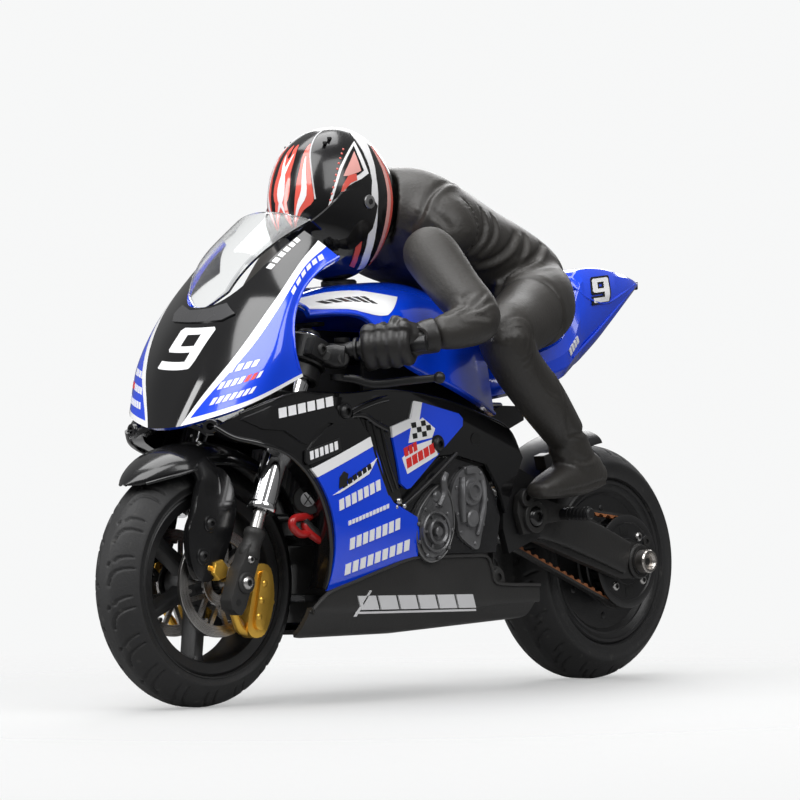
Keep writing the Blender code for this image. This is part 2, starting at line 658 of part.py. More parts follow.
TANK_ROWS = (
    ((50.6, 0.0, 95.6), (50.6, 9.0, 95.0), (50.0, 14.6, 93.2), (49.6, 16.4, 91.2)),
    ((36.0, 0.0, 98.6), (36.0, 9.6, 98.0), (36.0, 18.0, 94.6), (35.0, 20.4, 91.0)),
    ((24.0, 0.0, 100.4), (24.0, 9.8, 99.6), (24.0, 20.8, 93.0), (24.0, 24.0, 79.8)),
    ((8.0, 0.0, 101.2), (8.0, 9.0, 100.4), (8.0, 18.8, 93.0), (8.0, 22.8, 75.2)),
    ((-6.0, 0.0, 98.4), (-6.0, 8.0, 97.4), (-6.0, 14.8, 91.0), (-6.0, 19.6, 71.4)),
    ((-17.4, 0.0, 91.6), (-17.4, 6.4, 90.8), (-17.4, 11.6, 86.0), (-17.4, 15.0, 68.6)),
)


def tank():
    control = [mirror_row(line) for line in TANK_ROWS]
    node("tank_cover", skin(grid_from(control, 1, 2), -SHELL), BLUE_PAINT)


def seat_and_tail():
    rings = []
    for x, low, high, half in ((-19.0, 82.2, 85.6, 9.5), (-26.0, 83.9, 88.0, 12.0),
                               (-36.0, 86.6, 91.4, 12.5), (-44.0, 89.4, 95.6, 12.5),
                               (-51.4, 94.9, 99.4, 11.0)):
        rings.append([Vector((x, -half, low)), Vector((x, half, low)), Vector((x, half - 0.8, high - 1.0)),
                      Vector((x, half - 2.5, high)), Vector((x, -half + 2.5, high)),
                      Vector((x, -half + 0.8, high - 1.0))])
    node("seat_pad", combine(loft(rings), rider_room(), "DIFFERENCE"), SEAT_FOAM)
    rings = []
    for x, low, high, half in ((-19.0, 72.0, 81.4, 9.0), (-30.0, 74.0, 83.8, 13.0),
                               (-46.0, 77.0, 88.8, 13.2), (-52.6, 79.6, 94.0, 12.0),
                               (-60.0, 83.6, 107.6, 10.4), (-72.0, 91.4, 109.4, 8.6),
                               (-84.0, 101.0, 108.0, 6.2), (-90.4, 105.2, 106.6, 4.0)):
        third = (high - low) / 3.0
        rings.append([Vector((x, -half * 0.7, low)), Vector((x, half * 0.7, low)),
                      Vector((x, half, low + third)), Vector((x, half * 0.92, high - third * 0.6)),
                      Vector((x, half * 0.6, high)), Vector((x, -half * 0.6, high)),
                      Vector((x, -half * 0.92, high - third * 0.6)), Vector((x, -half, low + third))])
    node("tail_cover", combine(loft(rings), rider_room()[:1], "DIFFERENCE"), BLUE_PAINT)


def foot_pegs():
    for name, side in LEFT_RIGHT:
        plate = prism([(-16.0, 49.0), (-20.0, 50.0), (-26.0, 47.5), (-36.0, 44.6), (-36.4, 42.0),
                       (-26.0, 41.4), (-17.0, 38.4), (-15.0, 42.0)], *sorted((22.4 * side, 24.0 * side)))
        peg = rod(Vector((-32.6, 23.0 * side, 43.6)), Vector((-32.6, 33.0 * side, 43.6)), 1.5)
        hole = rod(SWING_PIVOT + SIDE * (20.0 * side), SWING_PIVOT + SIDE * (28.0 * side), 1.85)
        rest = combine(combine(plate, [peg]), [hole], "DIFFERENCE")
        node("foot_peg_" + name, rest, ALUMINIUM)


# ---- rear suspension ----------------------------------------------------
def swingarm(owner):
    outline = [(-16.6, 46.6), (-25.0, 48.4), (-48.6, 43.6), (-66.0, 36.6), (-74.0, 34.6),
               (-75.4, 29.6), (-72.4, 26.6), (-62.0, 26.6), (-30.0, 36.6), (-17.2, 38.8)]
    cross = prism([(-29.6, 45.2), (-36.2, 45.0), (-36.2, 39.2), (-29.6, 39.6)], -17.0, 17.0)
    arms = []
    for side in (1.0, -1.0):
        arms.append(prism(outline, *sorted((16.0 * side, 19.2 * side))))
    frame = combine(cross, arms)
    axle_bore = rod(REAR_AXLE - SIDE * 30.0, REAR_AXLE + SIDE * 30.0, 1.85)
    pivot_bore = rod(SWING_PIVOT - SIDE * 30.0, SWING_PIVOT + SIDE * 30.0, 1.85)
    frame = combine(frame, [axle_bore, pivot_bore], "DIFFERENCE")
    node("swingarm", frame, BLACK_PLASTIC, owner)
    axle = rod(REAR_AXLE - SIDE * 21.6, REAR_AXLE + SIDE * 21.6, 1.5)
    ends = []
    for side in (1.0, -1.0):
        ends.append(rod(REAR_AXLE + SIDE * (19.6 * side), REAR_AXLE + SIDE * (22.4 * side), 3.0, 20))
    node("rear_axle", combine(axle, ends), STEEL, owner)


def rear_hugger(owner):
    rings = []
    for step in range(9):
        angle = math.radians(40.0 + 5.0 * step)
        out = Vector((math.cos(angle), 0.0, math.sin(angle)))
        outer = [(-10.6, 31.6), (-9.4, 34.2), (-5.0, 35.6), (5.0, 35.6), (9.4, 34.2), (10.6, 31.6)]
        inner = [(y * 0.9, r - 1.2) for y, r in reversed(outer)]
        rings.append([REAR_AXLE + out * r + SIDE * y for y, r in outer + inner])
    arch = loft(rings)
    stays = []
    for side in (1.0, -1.0):
        stays.append(prism([(-44.0, 49.4), (-50.0, 49.0), (-53.0, 57.0), (-47.0, 58.0)],
                           *sorted((9.8 * side, 11.2 * side))))
        stays.append(block(Vector((-47.0, 13.6 * side, 50.2)), (6.0, 7.0, 2.0)))
    return node("rear_hugger", combine(arch, stays), BLACK_PLASTIC, owner)


def belt_loop(offset):
    """The belt's path round both pulleys, offset outward, as (x, z) points."""
    big = Vector((REAR_AXLE.x, REAR_AXLE.z))
    small = Vector((SWING_PIVOT.x, SWING_PIVOT.z))
    line = small - big
    spread = math.acos((11.4 - 4.8) / line.length)
    heading = math.atan2(line.y, line.x)
    points = []
    for i in range(17):
        angle = heading + spread + (2.0 * math.pi - 2.0 * spread) * i / 16.0
        points.append(big + Vector((math.cos(angle), math.sin(angle))) * (11.4 + offset))
    for i in range(11):
        angle = heading - spread + 2.0 * spread * i / 10.0
        points.append(small + Vector((math.cos(angle), math.sin(angle))) * (4.8 + offset))
    return points


def drive_belt(owner):
    outer = belt_loop(0.9)
    inner = belt_loop(-0.1)
    rings = []
    for out, into in zip(outer, inner):
        rings.append([Vector((out.x, 11.7, out.y)), Vector((out.x, 13.9, out.y)),
                      Vector((into.x, 13.9, into.y)), Vector((into.x, 11.7, into.y))])
    node("drive_belt", loft(rings, closed=True), BELT_RUBBER, owner)


def rear_shock(owner):
    top = Vector((-31.0, 0.0, 72.0))
    cylinder = tube(Vector((-31.0, 0.0, 60.0)), top, 3.0, 1.5)
    lid = rod(Vector((-31.0, 0.0, 70.0)), Vector((-31.0, 0.0, 72.6)), 4.4, 20)
    node("shock_body", combine(cylinder, [lid]), ALUMINIUM)
    piston = rod(Vector((-31.0, 0.0, 45.7)), Vector((-31.0, 0.0, 66.0)), 1.1)
    perch = rod(Vector((-31.0, 0.0, 49.0)), Vector((-31.0, 0.0, 51.0)), 4.4, 20)
    node("shock_rod", combine(piston, [perch]), STEEL, owner)
    coil = []
    for step in range(SPRING_STEPS + 1):
        turn = 2.0 * math.pi * SPRING_TURNS * step / SPRING_STEPS
        height = 52.2 + 16.4 * step / SPRING_STEPS
        coil.append(Vector((-31.0 + 3.9 * math.cos(turn), 3.9 * math.sin(turn), height)))
    rings = []
    for i, centre in enumerate(coil):
        way = coil[min(i + 1, SPRING_STEPS)] - coil[max(i - 1, 0)]
        rings.append(oval(centre, way, Vector((0.0, 0.0, 1.0)), 0.5, 0.5, 5))
    node("shock_spring", loft(rings), GOLD, owner)


def motor_pulley(owner):
    profile = [(1.0, 10.6), (5.8, 10.6), (5.8, 11.2), (4.5, 11.4), (4.5, 14.2), (5.8, 14.4),
               (5.8, 15.0), (1.0, 15.0)]
    node("motor_pulley", turned(profile, SWING_PIVOT, SIDE, 16), ALUMINIUM, owner)


# ---- rider --------------------------------------------------------------
def leg_stations(side):
    down = (ANKLE - KNEE)
    points = [
        (HIP + Vector((-3.0, -3.0, 0.0)), 8.4, 9.2),
        (HIP + (KNEE - HIP) * 0.34, 8.8, 9.2),
        (HIP + (KNEE - HIP) * 0.7, 7.6, 8.0),
        (KNEE + Vector((0.0, 0.0, 0.4)), 6.4, 6.2),
        (KNEE + down * 0.2 + Vector((1.6, 0.2, -1.0)), 5.8, 6.0),
        (KNEE + down * 0.55, 5.8, 6.4),
        (ANKLE + Vector((1.2, 0.0, 1.6)), 4.6, 5.2),
    ]
    return [(at_side(p, side), a, b) for p, a, b in points]


def rider_leg(side):
    leg = limb(leg_stations(side), 2, 12)
    toe = at_side(Vector((-17.0, 28.5, 49.6)), side)
    heel = at_side(Vector((-44.0, 26.0, 53.4)), side)
    mid = at_side(Vector((-30.0, 27.4, 52.4)), side)
    boot = limb([(heel, 3.8, 3.6), (heel + (mid - heel) * 0.5, 4.4, 4.6), (mid, 4.6, 4.6),
                 (mid + (toe - mid) * 0.6, 4.4, 3.4), (toe, 3.4, 2.4)], 2, 10)
    shaft = limb([(at_side(ANKLE, side) + Vector((1.2, 0.0, 1.8)), 4.6, 5.2),
                  (at_side(ANKLE, side) + Vector((-3.0, -0.4, -4.0)), 4.4, 5.4),
                  (at_side(ANKLE, side) + Vector((-6.0, -0.6, -7.0)), 4.0, 5.0)], 2, 10)
    return combine(leg, [shaft, boot])


def arm_stations(side):
    points = [
        (SHOULDER + Vector((-0.6, -3.6, 3.0)), 5.4, 5.8),
        (SHOULDER, 6.9, 7.2),
        (SHOULDER + (ELBOW - SHOULDER) * 0.5 + Vector((-0.6, 0.4, 0.0)), 6.2, 6.4),
        (ELBOW + Vector((-0.8, 0.0, 1.2)), 5.2, 5.2),
        (ELBOW + (WRIST - ELBOW) * 0.28, 5.0, 4.9),
        (ELBOW + (WRIST - ELBOW) * 0.7, 4.0, 3.9),
        (WRIST + (ELBOW - WRIST) * 0.06, 2.7, 2.6),
    ]
    return [(at_side(p, side), a, b) for p, a, b in points]


def torso_stations():
    return [
        (Vector((16.0, 0.0, 116.0)), 6.0, 6.0),
        (Vector((10.0, 0.0, 117.0)), 13.0, 10.5),
        (Vector((3.0, 0.0, 117.0)), 21.0, 14.2),
        (Vector((-8.0, 0.0, 114.6)), 20.0, 14.4),
        (Vector((-22.0, 0.0, 109.6)), 16.4, 13.4),
        (Vector((-36.0, 0.0, 106.0)), 15.6, 13.2),
        (Vector((-48.0, 0.0, 103.6)), 14.4, 11.2),
        (Vector((-56.0, 0.0, 103.0)), 8.0, 6.0),
    ]


def lengthened(stations, distance):
    """The same limb with both of its ends moved outward."""
    first = stations[0][0] + (stations[0][0] - stations[1][0]).normalized() * distance
    last = stations[-1][0] + (stations[-1][0] - stations[-2][0]).normalized() * distance
    return [(first, *stations[0][1:])] + stations[1:-1] + [(last, *stations[-1][1:])]


def rider_room():
    """The space the seated rider takes, which the seat and the tail are hollowed to."""
    room = [limb(lengthened(torso_stations(), 0.8), 2, 16, GAP)]
    for side in (1.0, -1.0):
        room.append(limb(lengthened(leg_stations(side), 0.8), 2, 12, GAP))
    return room


def rider():
    torso = limb(torso_stations(), 2, 16)
    room = [helmet_shape(0.6)]
    for side in (1.0, -1.0):
        room.append(limb(lengthened(arm_stations(side), 0.8), 2, 12, 0.6))
        room.append(limb(lengthened(leg_stations(side), 0.8), 2, 12, GAP))
    neck = rod(helmet_point(-4.0, 0.0, -22.0), helmet_point(-3.0, 0.0, -7.0), 6.4, 14)
    node("rider_torso", combine(combine(torso, room, "DIFFERENCE"), [neck]), SUIT)
    for name, side in LEFT_RIGHT:
        node("rider_leg_" + name, rider_leg(side), SUIT)


def helmet_point(ahead, across, up):
    """A point in the helmet's own directions, which are pitched nose down."""
    forward = Vector((math.cos(HELMET_PITCH), 0.0, -math.sin(HELMET_PITCH)))
    above = Vector((math.sin(HELMET_PITCH), 0.0, math.cos(HELMET_PITCH)))
    return HELMET_CENTRE + forward * ahead + SIDE * across + above * up


def helmet_shape(grow):
    rings = []
    forward = helmet_point(1.0, 0.0, 0.0) - HELMET_CENTRE
    for step in range(1, 9):
        angle = math.pi * step / 9.0
        ahead = -(18.2 + grow) * math.cos(angle)
        size = math.sin(angle) ** 0.86
        sink = 1.6 * max(0.0, ahead) / 16.0
        centre = helmet_point(ahead, 0.0, -sink - 0.6)
        rings.append(oval(centre, forward, SIDE, (12.6 + grow) * size, (17.6 + grow) * size, 18, 2.2))
    return loft(rings)


def helmet(visor_body):
    outer = helmet_shape(0.0)
    face = loft([
        [helmet_point(4.0, y, z) for y, z in ((-30.0, 5.4), (30.0, 5.4), (30.0, -5.6), (-30.0, -5.6))],
        [helmet_point(30.0, y, z) for y, z in ((-30.0, 5.0), (30.0, 5.0), (30.0, -5.0), (-30.0, -5.0))],
    ])
    core = helmet_shape(-2.2)
    cavity = combine(core, [rod(helmet_point(-5.0, 0.0, -24.0), helmet_point(-3.0, 0.0, -8.0), 8.6, 20)])
    shell = combine(outer, [face, cavity], "DIFFERENCE")
    node("helmet", shell, HELMET_PAINT)
    keep = loft([
        [helmet_point(0.0, y, z) for y, z in ((-30.0, 3.4), (30.0, 3.4), (30.0, -3.4), (-30.0, -3.4))],
        [helmet_point(5.0, y, z) for y, z in ((-30.0, 6.4), (30.0, 6.4), (30.0, -6.2), (-30.0, -6.2))],
        [helmet_point(30.0, y, z) for y, z in ((-30.0, 6.0), (30.0, 6.0), (30.0, -6.0), (-30.0, -6.0))],
    ])
    lens = combine(combine(helmet_shape(1.3), [keep], "INTERSECT"), [helmet_shape(0.55)], "DIFFERENCE")
    node("visor", lens, VISOR_TINT, visor_body)


def build():
    steering = body("steering", STEER_POINT + FORK_UP * 50.0)
    slider = body("fork_travel", on_fork(17.0), steering)
    front = body("front_wheel", FRONT_AXLE, slider)
    swing = body("swingarm", SWING_PIVOT)
    rear = body("rear_wheel", REAR_AXLE, swing)
    drive = body("motor_pulley", SWING_PIVOT)
    shock = body("shock_rod", Vector((-31.0, 0.0, 50.0)))
    visor = body("visor", helmet_point(1.5, 0.0, 0.0))
    front_wheel(front)
    rear_wheel(rear)
    fork_slider(slider)
    steering_parts(steering)
    chassis()
    side_fairings()
    belly_pan()
    nose()
    tank()
    seat_and_tail()
    foot_pegs()
    swingarm(swing)
    rear_hugger(swing)
    drive_belt(swing)
    rear_shock(shock)
    motor_pulley(drive)
    rider()
    helmet(visor)
    for name, side in LEFT_RIGHT:
        shoulder = body("arm_" + name, at_side(SHOULDER, side))
        node("rider_arm_" + name, limb(arm_stations(side), 2, 12), SUIT, shoulder)
        pivot = body("lever_" + name, at_side(Vector((45.6, 21.6, 76.0)), side), steering)
        node("hand_lever_" + name, hand_lever(side), BLACK_PLASTIC, pivot)


build()
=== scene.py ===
"""Looks of the 1:10 radio controlled racing motorcycle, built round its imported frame.

Shapes are drawn in millimetres in the frame's own directions (X forward, Y to the
rider's left, Z up) and are turned into metres when a piece is made.
"""
import math

import bmesh
import bpy
import numpy as np
from mathutils import Matrix, Vector
from mathutils.bvhtree import BVHTree
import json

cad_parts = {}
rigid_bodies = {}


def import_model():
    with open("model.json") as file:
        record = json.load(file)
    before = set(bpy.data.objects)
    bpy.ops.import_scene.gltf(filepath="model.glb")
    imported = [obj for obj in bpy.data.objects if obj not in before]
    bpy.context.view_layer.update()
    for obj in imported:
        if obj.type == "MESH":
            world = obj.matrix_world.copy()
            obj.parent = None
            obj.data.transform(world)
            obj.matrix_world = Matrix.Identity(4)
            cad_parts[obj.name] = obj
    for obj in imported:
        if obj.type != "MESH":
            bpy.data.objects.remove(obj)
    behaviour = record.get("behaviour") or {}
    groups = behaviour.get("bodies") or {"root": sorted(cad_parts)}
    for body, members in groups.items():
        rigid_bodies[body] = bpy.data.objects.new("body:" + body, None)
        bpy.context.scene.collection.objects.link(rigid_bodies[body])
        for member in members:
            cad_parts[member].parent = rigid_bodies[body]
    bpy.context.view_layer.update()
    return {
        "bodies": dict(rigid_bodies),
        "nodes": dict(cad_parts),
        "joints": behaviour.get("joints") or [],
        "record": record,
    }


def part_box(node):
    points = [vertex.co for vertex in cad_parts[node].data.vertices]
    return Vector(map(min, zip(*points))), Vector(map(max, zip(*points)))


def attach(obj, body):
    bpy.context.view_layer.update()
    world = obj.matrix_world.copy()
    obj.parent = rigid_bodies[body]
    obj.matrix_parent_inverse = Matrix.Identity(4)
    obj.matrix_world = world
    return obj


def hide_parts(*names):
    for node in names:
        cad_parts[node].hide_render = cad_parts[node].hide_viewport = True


MM = 0.001
SIDE = Vector((0.0, 1.0, 0.0))
UP = Vector((0.0, 0.0, 1.0))
LEFT_RIGHT = (("left", 1.0), ("right", -1.0))

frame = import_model()
JOINTS = {joint["name"]: joint for joint in frame["joints"]}


def joint_point(name):
    """The point of a joint, in millimetres."""
    return Vector(JOINTS[name]["pos_m"]) / MM


def centre_line(node):
    """The middle of a node's box, moved on to the machine's middle plane."""
    low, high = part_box(node)
    point = (low + high) / (2.0 * MM)
    return Vector((point.x, 0.0, point.z))


FRONT_AXLE = centre_line("front_axle")
REAR_AXLE = centre_line("rear_axle")
SWING_PIVOT = centre_line("motor_pulley")
FRONT_RADIUS = (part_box("front_tyre")[1].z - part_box("front_tyre")[0].z) / (2.0 * MM)
REAR_RADIUS = (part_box("rear_tyre")[1].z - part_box("rear_tyre")[0].z) / (2.0 * MM)
FRONT_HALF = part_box("front_tyre")[1].y / MM
REAR_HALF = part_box("rear_tyre")[1].y / MM
FORK_UP = Vector(JOINTS["fork_travel"]["axis"]).normalized()
FORK_FORWARD = SIDE.cross(FORK_UP)
FORK_SPACING = (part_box("fork_tube_left")[0].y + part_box("fork_tube_left")[1].y) / (2.0 * MM)
STEER_POINT = joint_point("steering") - FORK_UP * 50.0
HELMET_PITCH = math.radians(48.0)
HELMET_FORWARD = Vector((math.cos(HELMET_PITCH), 0.0, -math.sin(HELMET_PITCH)))
HELMET_ABOVE = Vector((math.sin(HELMET_PITCH), 0.0, math.cos(HELMET_PITCH)))
HELMET_CENTRE = joint_point("visor_lift") - HELMET_FORWARD * 1.5
SHOULDER = joint_point("left_arm_swing")
ELBOW = Vector((12.0, 41.0, 91.0))
WRIST = Vector((32.0, 37.5, 85.4))
FIST = Vector((39.5, 32.5, 83.6))
HIP = Vector((-39.0, 14.0, 99.5))
KNEE = Vector((-1.0, 33.5, 87.0))
ANKLE = Vector((-31.0, 28.0, 60.0))
BAR_START = Vector((46.9, 19.6, 82.4))
BAR_END = Vector((35.6, 41.0, 83.8))


# ---- materials ----------------------------------------------------------
def wire(tree, kind, inputs=None, **settings):
    """Add a node, set its properties, and set or link its inputs by name or number."""
    made = tree.nodes.new(kind)
    for key, value in settings.items():
        setattr(made, key, value)
    for key, value in (inputs or {}).items():
        if isinstance(value, bpy.types.NodeSocket):
            tree.links.new(value, made.inputs[key])
        else:
            made.inputs[key].default_value = value
    return made


def new_material(name):
    """A material with its node tree and its shader."""
    made = bpy.data.materials.new(name)
    made.use_nodes = True
    return made, made.node_tree, made.node_tree.nodes["Principled BSDF"]


def place_of(tree, stretch=(1.0, 1.0, 1.0)):
    """Object coordinates, stretched for grain with a direction."""
    where = wire(tree, "ShaderNodeTexCoord").outputs["Object"]
    return wire(tree, "ShaderNodeMapping", {"Vector": where, "Scale": stretch}).outputs[0]


def blend_colours(tree, share, low, high):
    """Mix two plain colours or colour sockets by a share from 0 to 1."""
    mixed = wire(tree, "ShaderNodeMix", data_type="RGBA")
    tree.links.new(share, mixed.inputs["Factor"])
    for socket, value in ((mixed.inputs[6], low), (mixed.inputs[7], high)):
        if isinstance(value, bpy.types.NodeSocket):
            tree.links.new(value, socket)
        else:
            socket.default_value = (*value, 1.0)
    return mixed.outputs[2]


def spread(tree, value, low, high, start=0.3, stop=0.7):
    """Map a noise value between start and stop on to low..high."""
    made = wire(tree, "ShaderNodeMapRange", {"Value": value, "From Min": start, "From Max": stop,
                                             "To Min": low, "To Max": high})
    return made.outputs[0]


def surface(name, colour, roughness, metallic=0.0, coat=0.0, grain=900.0, depth=0.02, tone=0.15,
            wear=0.06, stretch=(1.0, 1.0, 1.0), dust=None):
    """A moulded, painted or metal finish: fine grain in the bump, uneven tone and uneven gloss."""
    made, tree, shader = new_material(name)
    where = place_of(tree, stretch)
    fine = wire(tree, "ShaderNodeTexNoise", {"Vector": where, "Scale": grain, "Detail": 3.0}).outputs[0]
    broad = wire(tree, "ShaderNodeTexNoise", {"Vector": where, "Scale": 60.0, "Detail": 5.0}).outputs[0]
    dark = tuple(c * (1.0 - tone) for c in colour)
    light = tuple(min(1.0, c * (1.0 + tone)) for c in colour)
    paint = blend_colours(tree, spread(tree, broad, 0.0, 1.0), dark, light)
    if dust is not None:
        specks = wire(tree, "ShaderNodeTexNoise", {"Vector": where, "Scale": 420.0, "Detail": 6.0}).outputs[0]
        paint = blend_colours(tree, spread(tree, specks, 0.0, 0.6, 0.62, 0.8), paint, dust)
    tree.links.new(paint, shader.inputs["Base Color"])
    rough = spread(tree, broad, max(0.02, roughness - wear), roughness + wear)
    tree.links.new(rough, shader.inputs["Roughness"])
    bump = wire(tree, "ShaderNodeBump", {"Height": fine, "Strength": depth, "Distance": 0.0003})
    tree.links.new(bump.outputs[0], shader.inputs["Normal"])
    shader.inputs["Metallic"].default_value = metallic
    shader.inputs["Coat Weight"].default_value = coat
    shader.inputs["Coat Roughness"].default_value = 0.05
    return made


def turned_metal(name, colour, roughness, centre):
    """Metal with fine rings turned about a sideways axis."""
    made, tree, shader = new_material(name)
    where = wire(tree, "ShaderNodeTexCoord").outputs["Object"]
    moved = wire(tree, "ShaderNodeVectorMath", {0: where, 1: centre * MM}, operation="SUBTRACT").outputs[0]
    flat = wire(tree, "ShaderNodeVectorMath", {0: moved, 1: (1.0, 0.0, 1.0)}, operation="MULTIPLY").outputs[0]
    reach = wire(tree, "ShaderNodeVectorMath", {0: flat}, operation="LENGTH").outputs[1]
    rings = wire(tree, "ShaderNodeTexNoise", {"W": reach, "Scale": 9000.0, "Detail": 2.0},
                 noise_dimensions="1D").outputs[0]
    smear = wire(tree, "ShaderNodeTexNoise", {"Vector": where, "Scale": 240.0, "Detail": 4.0}).outputs[0]
    dark = tuple(c * 0.72 for c in colour)
    tree.links.new(blend_colours(tree, spread(tree, smear, 0.0, 1.0), dark, colour),
                   shader.inputs["Base Color"])
    tree.links.new(spread(tree, rings, roughness - 0.08, roughness + 0.1), shader.inputs["Roughness"])
    bump = wire(tree, "ShaderNodeBump", {"Height": rings, "Strength": 0.12, "Distance": 0.0001})
    tree.links.new(bump.outputs[0], shader.inputs["Normal"])
    shader.inputs["Metallic"].default_value = 1.0
    return made


def clear_plastic(name, tint, roughness=0.02):
    """See-through plastic with a faint uneven haze."""
    made, tree, shader = new_material(name)
    where = place_of(tree)
    haze = wire(tree, "ShaderNodeTexNoise", {"Vector": where, "Scale": 90.0, "Detail": 4.0}).outputs[0]
    tree.links.new(spread(tree, haze, roughness, roughness + 0.05), shader.inputs["Roughness"])
    shader.inputs["Base Color"].default_value = (*tint, 1.0)
    shader.inputs["Transmission Weight"].default_value = 1.0
    shader.inputs["IOR"].default_value = 1.45
    return made


RUBBER = surface("tyre_rubber", (0.013, 0.013, 0.0135), 0.62, grain=1500, depth=0.25, tone=0.25, wear=0.1,
                 dust=(0.075, 0.072, 0.066))
WHEEL_BLACK = surface("wheel_plastic", (0.011, 0.011, 0.0115), 0.42, grain=2200, depth=0.12, tone=0.2)
SATIN_BLACK = surface("satin_black", (0.010, 0.010, 0.0105), 0.38, grain=2400, depth=0.1, tone=0.2)
MATT_BLACK = surface("moulded_black", (0.015, 0.0145, 0.014), 0.52, grain=1800, depth=0.18, tone=0.2)
PAN_GREY = surface("pan_grey", (0.020, 0.0195, 0.019), 0.44, grain=1600, depth=0.14, tone=0.12)
GLOSS = surface("gloss_black", (0.003, 0.003, 0.0035), 0.09, coat=0.6, grain=260, depth=0.012, tone=0.2,
                wear=0.04)
GLOSS_SOFT = surface("soft_gloss_black", (0.006, 0.006, 0.0065), 0.2, coat=0.35, grain=700, depth=0.03,
                     tone=0.2)
BLUE = surface("blue_paint", (0.002, 0.060, 0.80), 0.16, coat=1.0, grain=300, depth=0.01, tone=0.05,
               wear=0.04)
WHITE = surface("white_paint", (0.93, 0.93, 0.94), 0.22, coat=0.6, grain=300, depth=0.01, tone=0.02)
RED = surface("red_print", (0.75, 0.03, 0.025), 0.3, coat=0.3, tone=0.04)
CORAL = surface("coral_paint", (0.80, 0.115, 0.085), 0.16, coat=0.8, tone=0.1, depth=0.01)
PINK = surface("pale_pink_paint", (0.86, 0.42, 0.38), 0.18, coat=0.8, tone=0.08, depth=0.01)
PALE_GREY = surface("silver_print", (0.62, 0.62, 0.63), 0.4, tone=0.06)
# Glossy black covers given a grey base colour that stands for their highlights: painted sheen, with random
# tone on top.
ENGINE_SHEEN_GREY = surface("engine_grey_painted_sheen", (0.17, 0.17, 0.175), 0.36, metallic=0.5, grain=700, depth=0.5, tone=0.5,
                      wear=0.12)
ENGINE_DARK = surface("engine_dark", (0.012, 0.012, 0.013), 0.2, coat=0.5, grain=500, depth=0.3, tone=0.4)
# Dark steel for screws and fins; as the bead on the engine cover rims it is a painted highlight.
STEEL_DARK = surface("dark_steel_and_edge_highlight", (0.24, 0.24, 0.24), 0.35, metallic=0.7, tone=0.4)
AXLE_STEEL = turned_metal("axle_steel", (0.62, 0.585, 0.55), 0.22, REAR_AXLE)
CHROME = surface("chrome", (0.87, 0.87, 0.88), 0.06, metallic=1.0, grain=500, depth=0.01, tone=0.03,
                 wear=0.03)
STEEL = surface("steel", (0.56, 0.55, 0.54), 0.26, metallic=1.0, tone=0.12, stretch=(1.0, 8.0, 1.0))
GOLD = surface("gold_anodised", (0.95, 0.54, 0.09), 0.3, metallic=0.85, grain=1200, depth=0.14, tone=0.14,
               wear=0.08)
BRONZE = surface("bronze", (0.42, 0.24, 0.09), 0.34, metallic=0.9, tone=0.25)
ALUMINIUM = surface("aluminium", (0.5, 0.5, 0.51), 0.34, metallic=1.0, tone=0.12)
FRONT_DISC = turned_metal("front_disc_steel", (0.50, 0.485, 0.47), 0.27, FRONT_AXLE)
SUIT = surface("suit_rubber", (0.030, 0.0275, 0.0245), 0.47, grain=1300, depth=0.28, tone=0.14, wear=0.07)
GLOVE = surface("glove_rubber", (0.016, 0.015, 0.0145), 0.4, grain=1300, depth=0.24, tone=0.2, wear=0.08)
FOAM = surface("seat_foam", (0.022, 0.016, 0.011), 0.85, grain=900, depth=0.8, tone=0.35)
BELT_BACK = surface("belt_back", (0.025, 0.024, 0.023), 0.6, grain=1500, depth=0.3, tone=0.2)
BELT_TEETH = surface("belt_teeth", (0.30, 0.105, 0.035), 0.6, grain=1500, depth=0.3, tone=0.35)
SCREEN = clear_plastic("clear_screen", (0.97, 0.98, 0.98))
# Grey tint for the screen's side strips: painted shade where the edge looks darker through its thickness.
SCREEN_EDGE_SHADE = clear_plastic("screen_edge_painted_shade", (0.60, 0.61, 0.62), 0.06)
DARK_GREY_GLOSS = surface("dark_grey_gloss", (0.05, 0.05, 0.052), 0.22, coat=0.4, tone=0.1)
VISOR = surface("visor_tint", (0.004, 0.004, 0.0045), 0.06, coat=1.0, tone=0.1, depth=0.006, wear=0.02)
WRAP = surface("battery_wrap", (0.012, 0.012, 0.016), 0.3, coat=0.3, tone=0.1)
WIRE_RED = surface("wire_red", (0.38, 0.010, 0.010), 0.32, coat=0.2, tone=0.1)
WIRE_BLACK = surface("wire_black", (0.015, 0.015, 0.015), 0.35, coat=0.2, tone=0.1)
# Near-black for print and seams, and also painted shade in screw sockets, holes, vents and windows.
BLACK_PRINT_AND_SHADE = surface("black_print_and_painted_shade", (0.004, 0.004, 0.004), 0.6, tone=0.1)


# ---- mesh builders ------------------------------------------------------
ROD_EDGE = 0.12
BLOCK_EDGE = 0.3


def tidy(mesh):
    """Weld doubled points, drop loose edges and turn all faces outward."""
    bmesh.ops.remove_doubles(mesh, verts=mesh.verts, dist=1e-4)
    loose = [edge for edge in mesh.edges if not edge.link_faces]
    bmesh.ops.delete(mesh, geom=loose, context="EDGES")
    bmesh.ops.recalc_face_normals(mesh, faces=mesh.faces)
    return mesh


def loft(rings, closed=False, mat=0):
    """Skin equal rings of points; the two ends are capped unless the loft closes on itself."""
    mesh = bmesh.new()
    rows = [[mesh.verts.new(point) for point in ring] for ring in rings]
    count = len(rows[0])
    pairs = list(zip(rows, rows[1:]))
    if closed:
        pairs.append((rows[-1], rows[0]))
    for near, far in pairs:
        for i in range(count):
            j = (i + 1) % count
            mesh.faces.new((near[i], near[j], far[j], far[i]))
    if not closed:
        mesh.faces.new(rows[0])
        mesh.faces.new(rows[-1])
    for face in mesh.faces:
        face.material_index = mat
    return tidy(mesh)


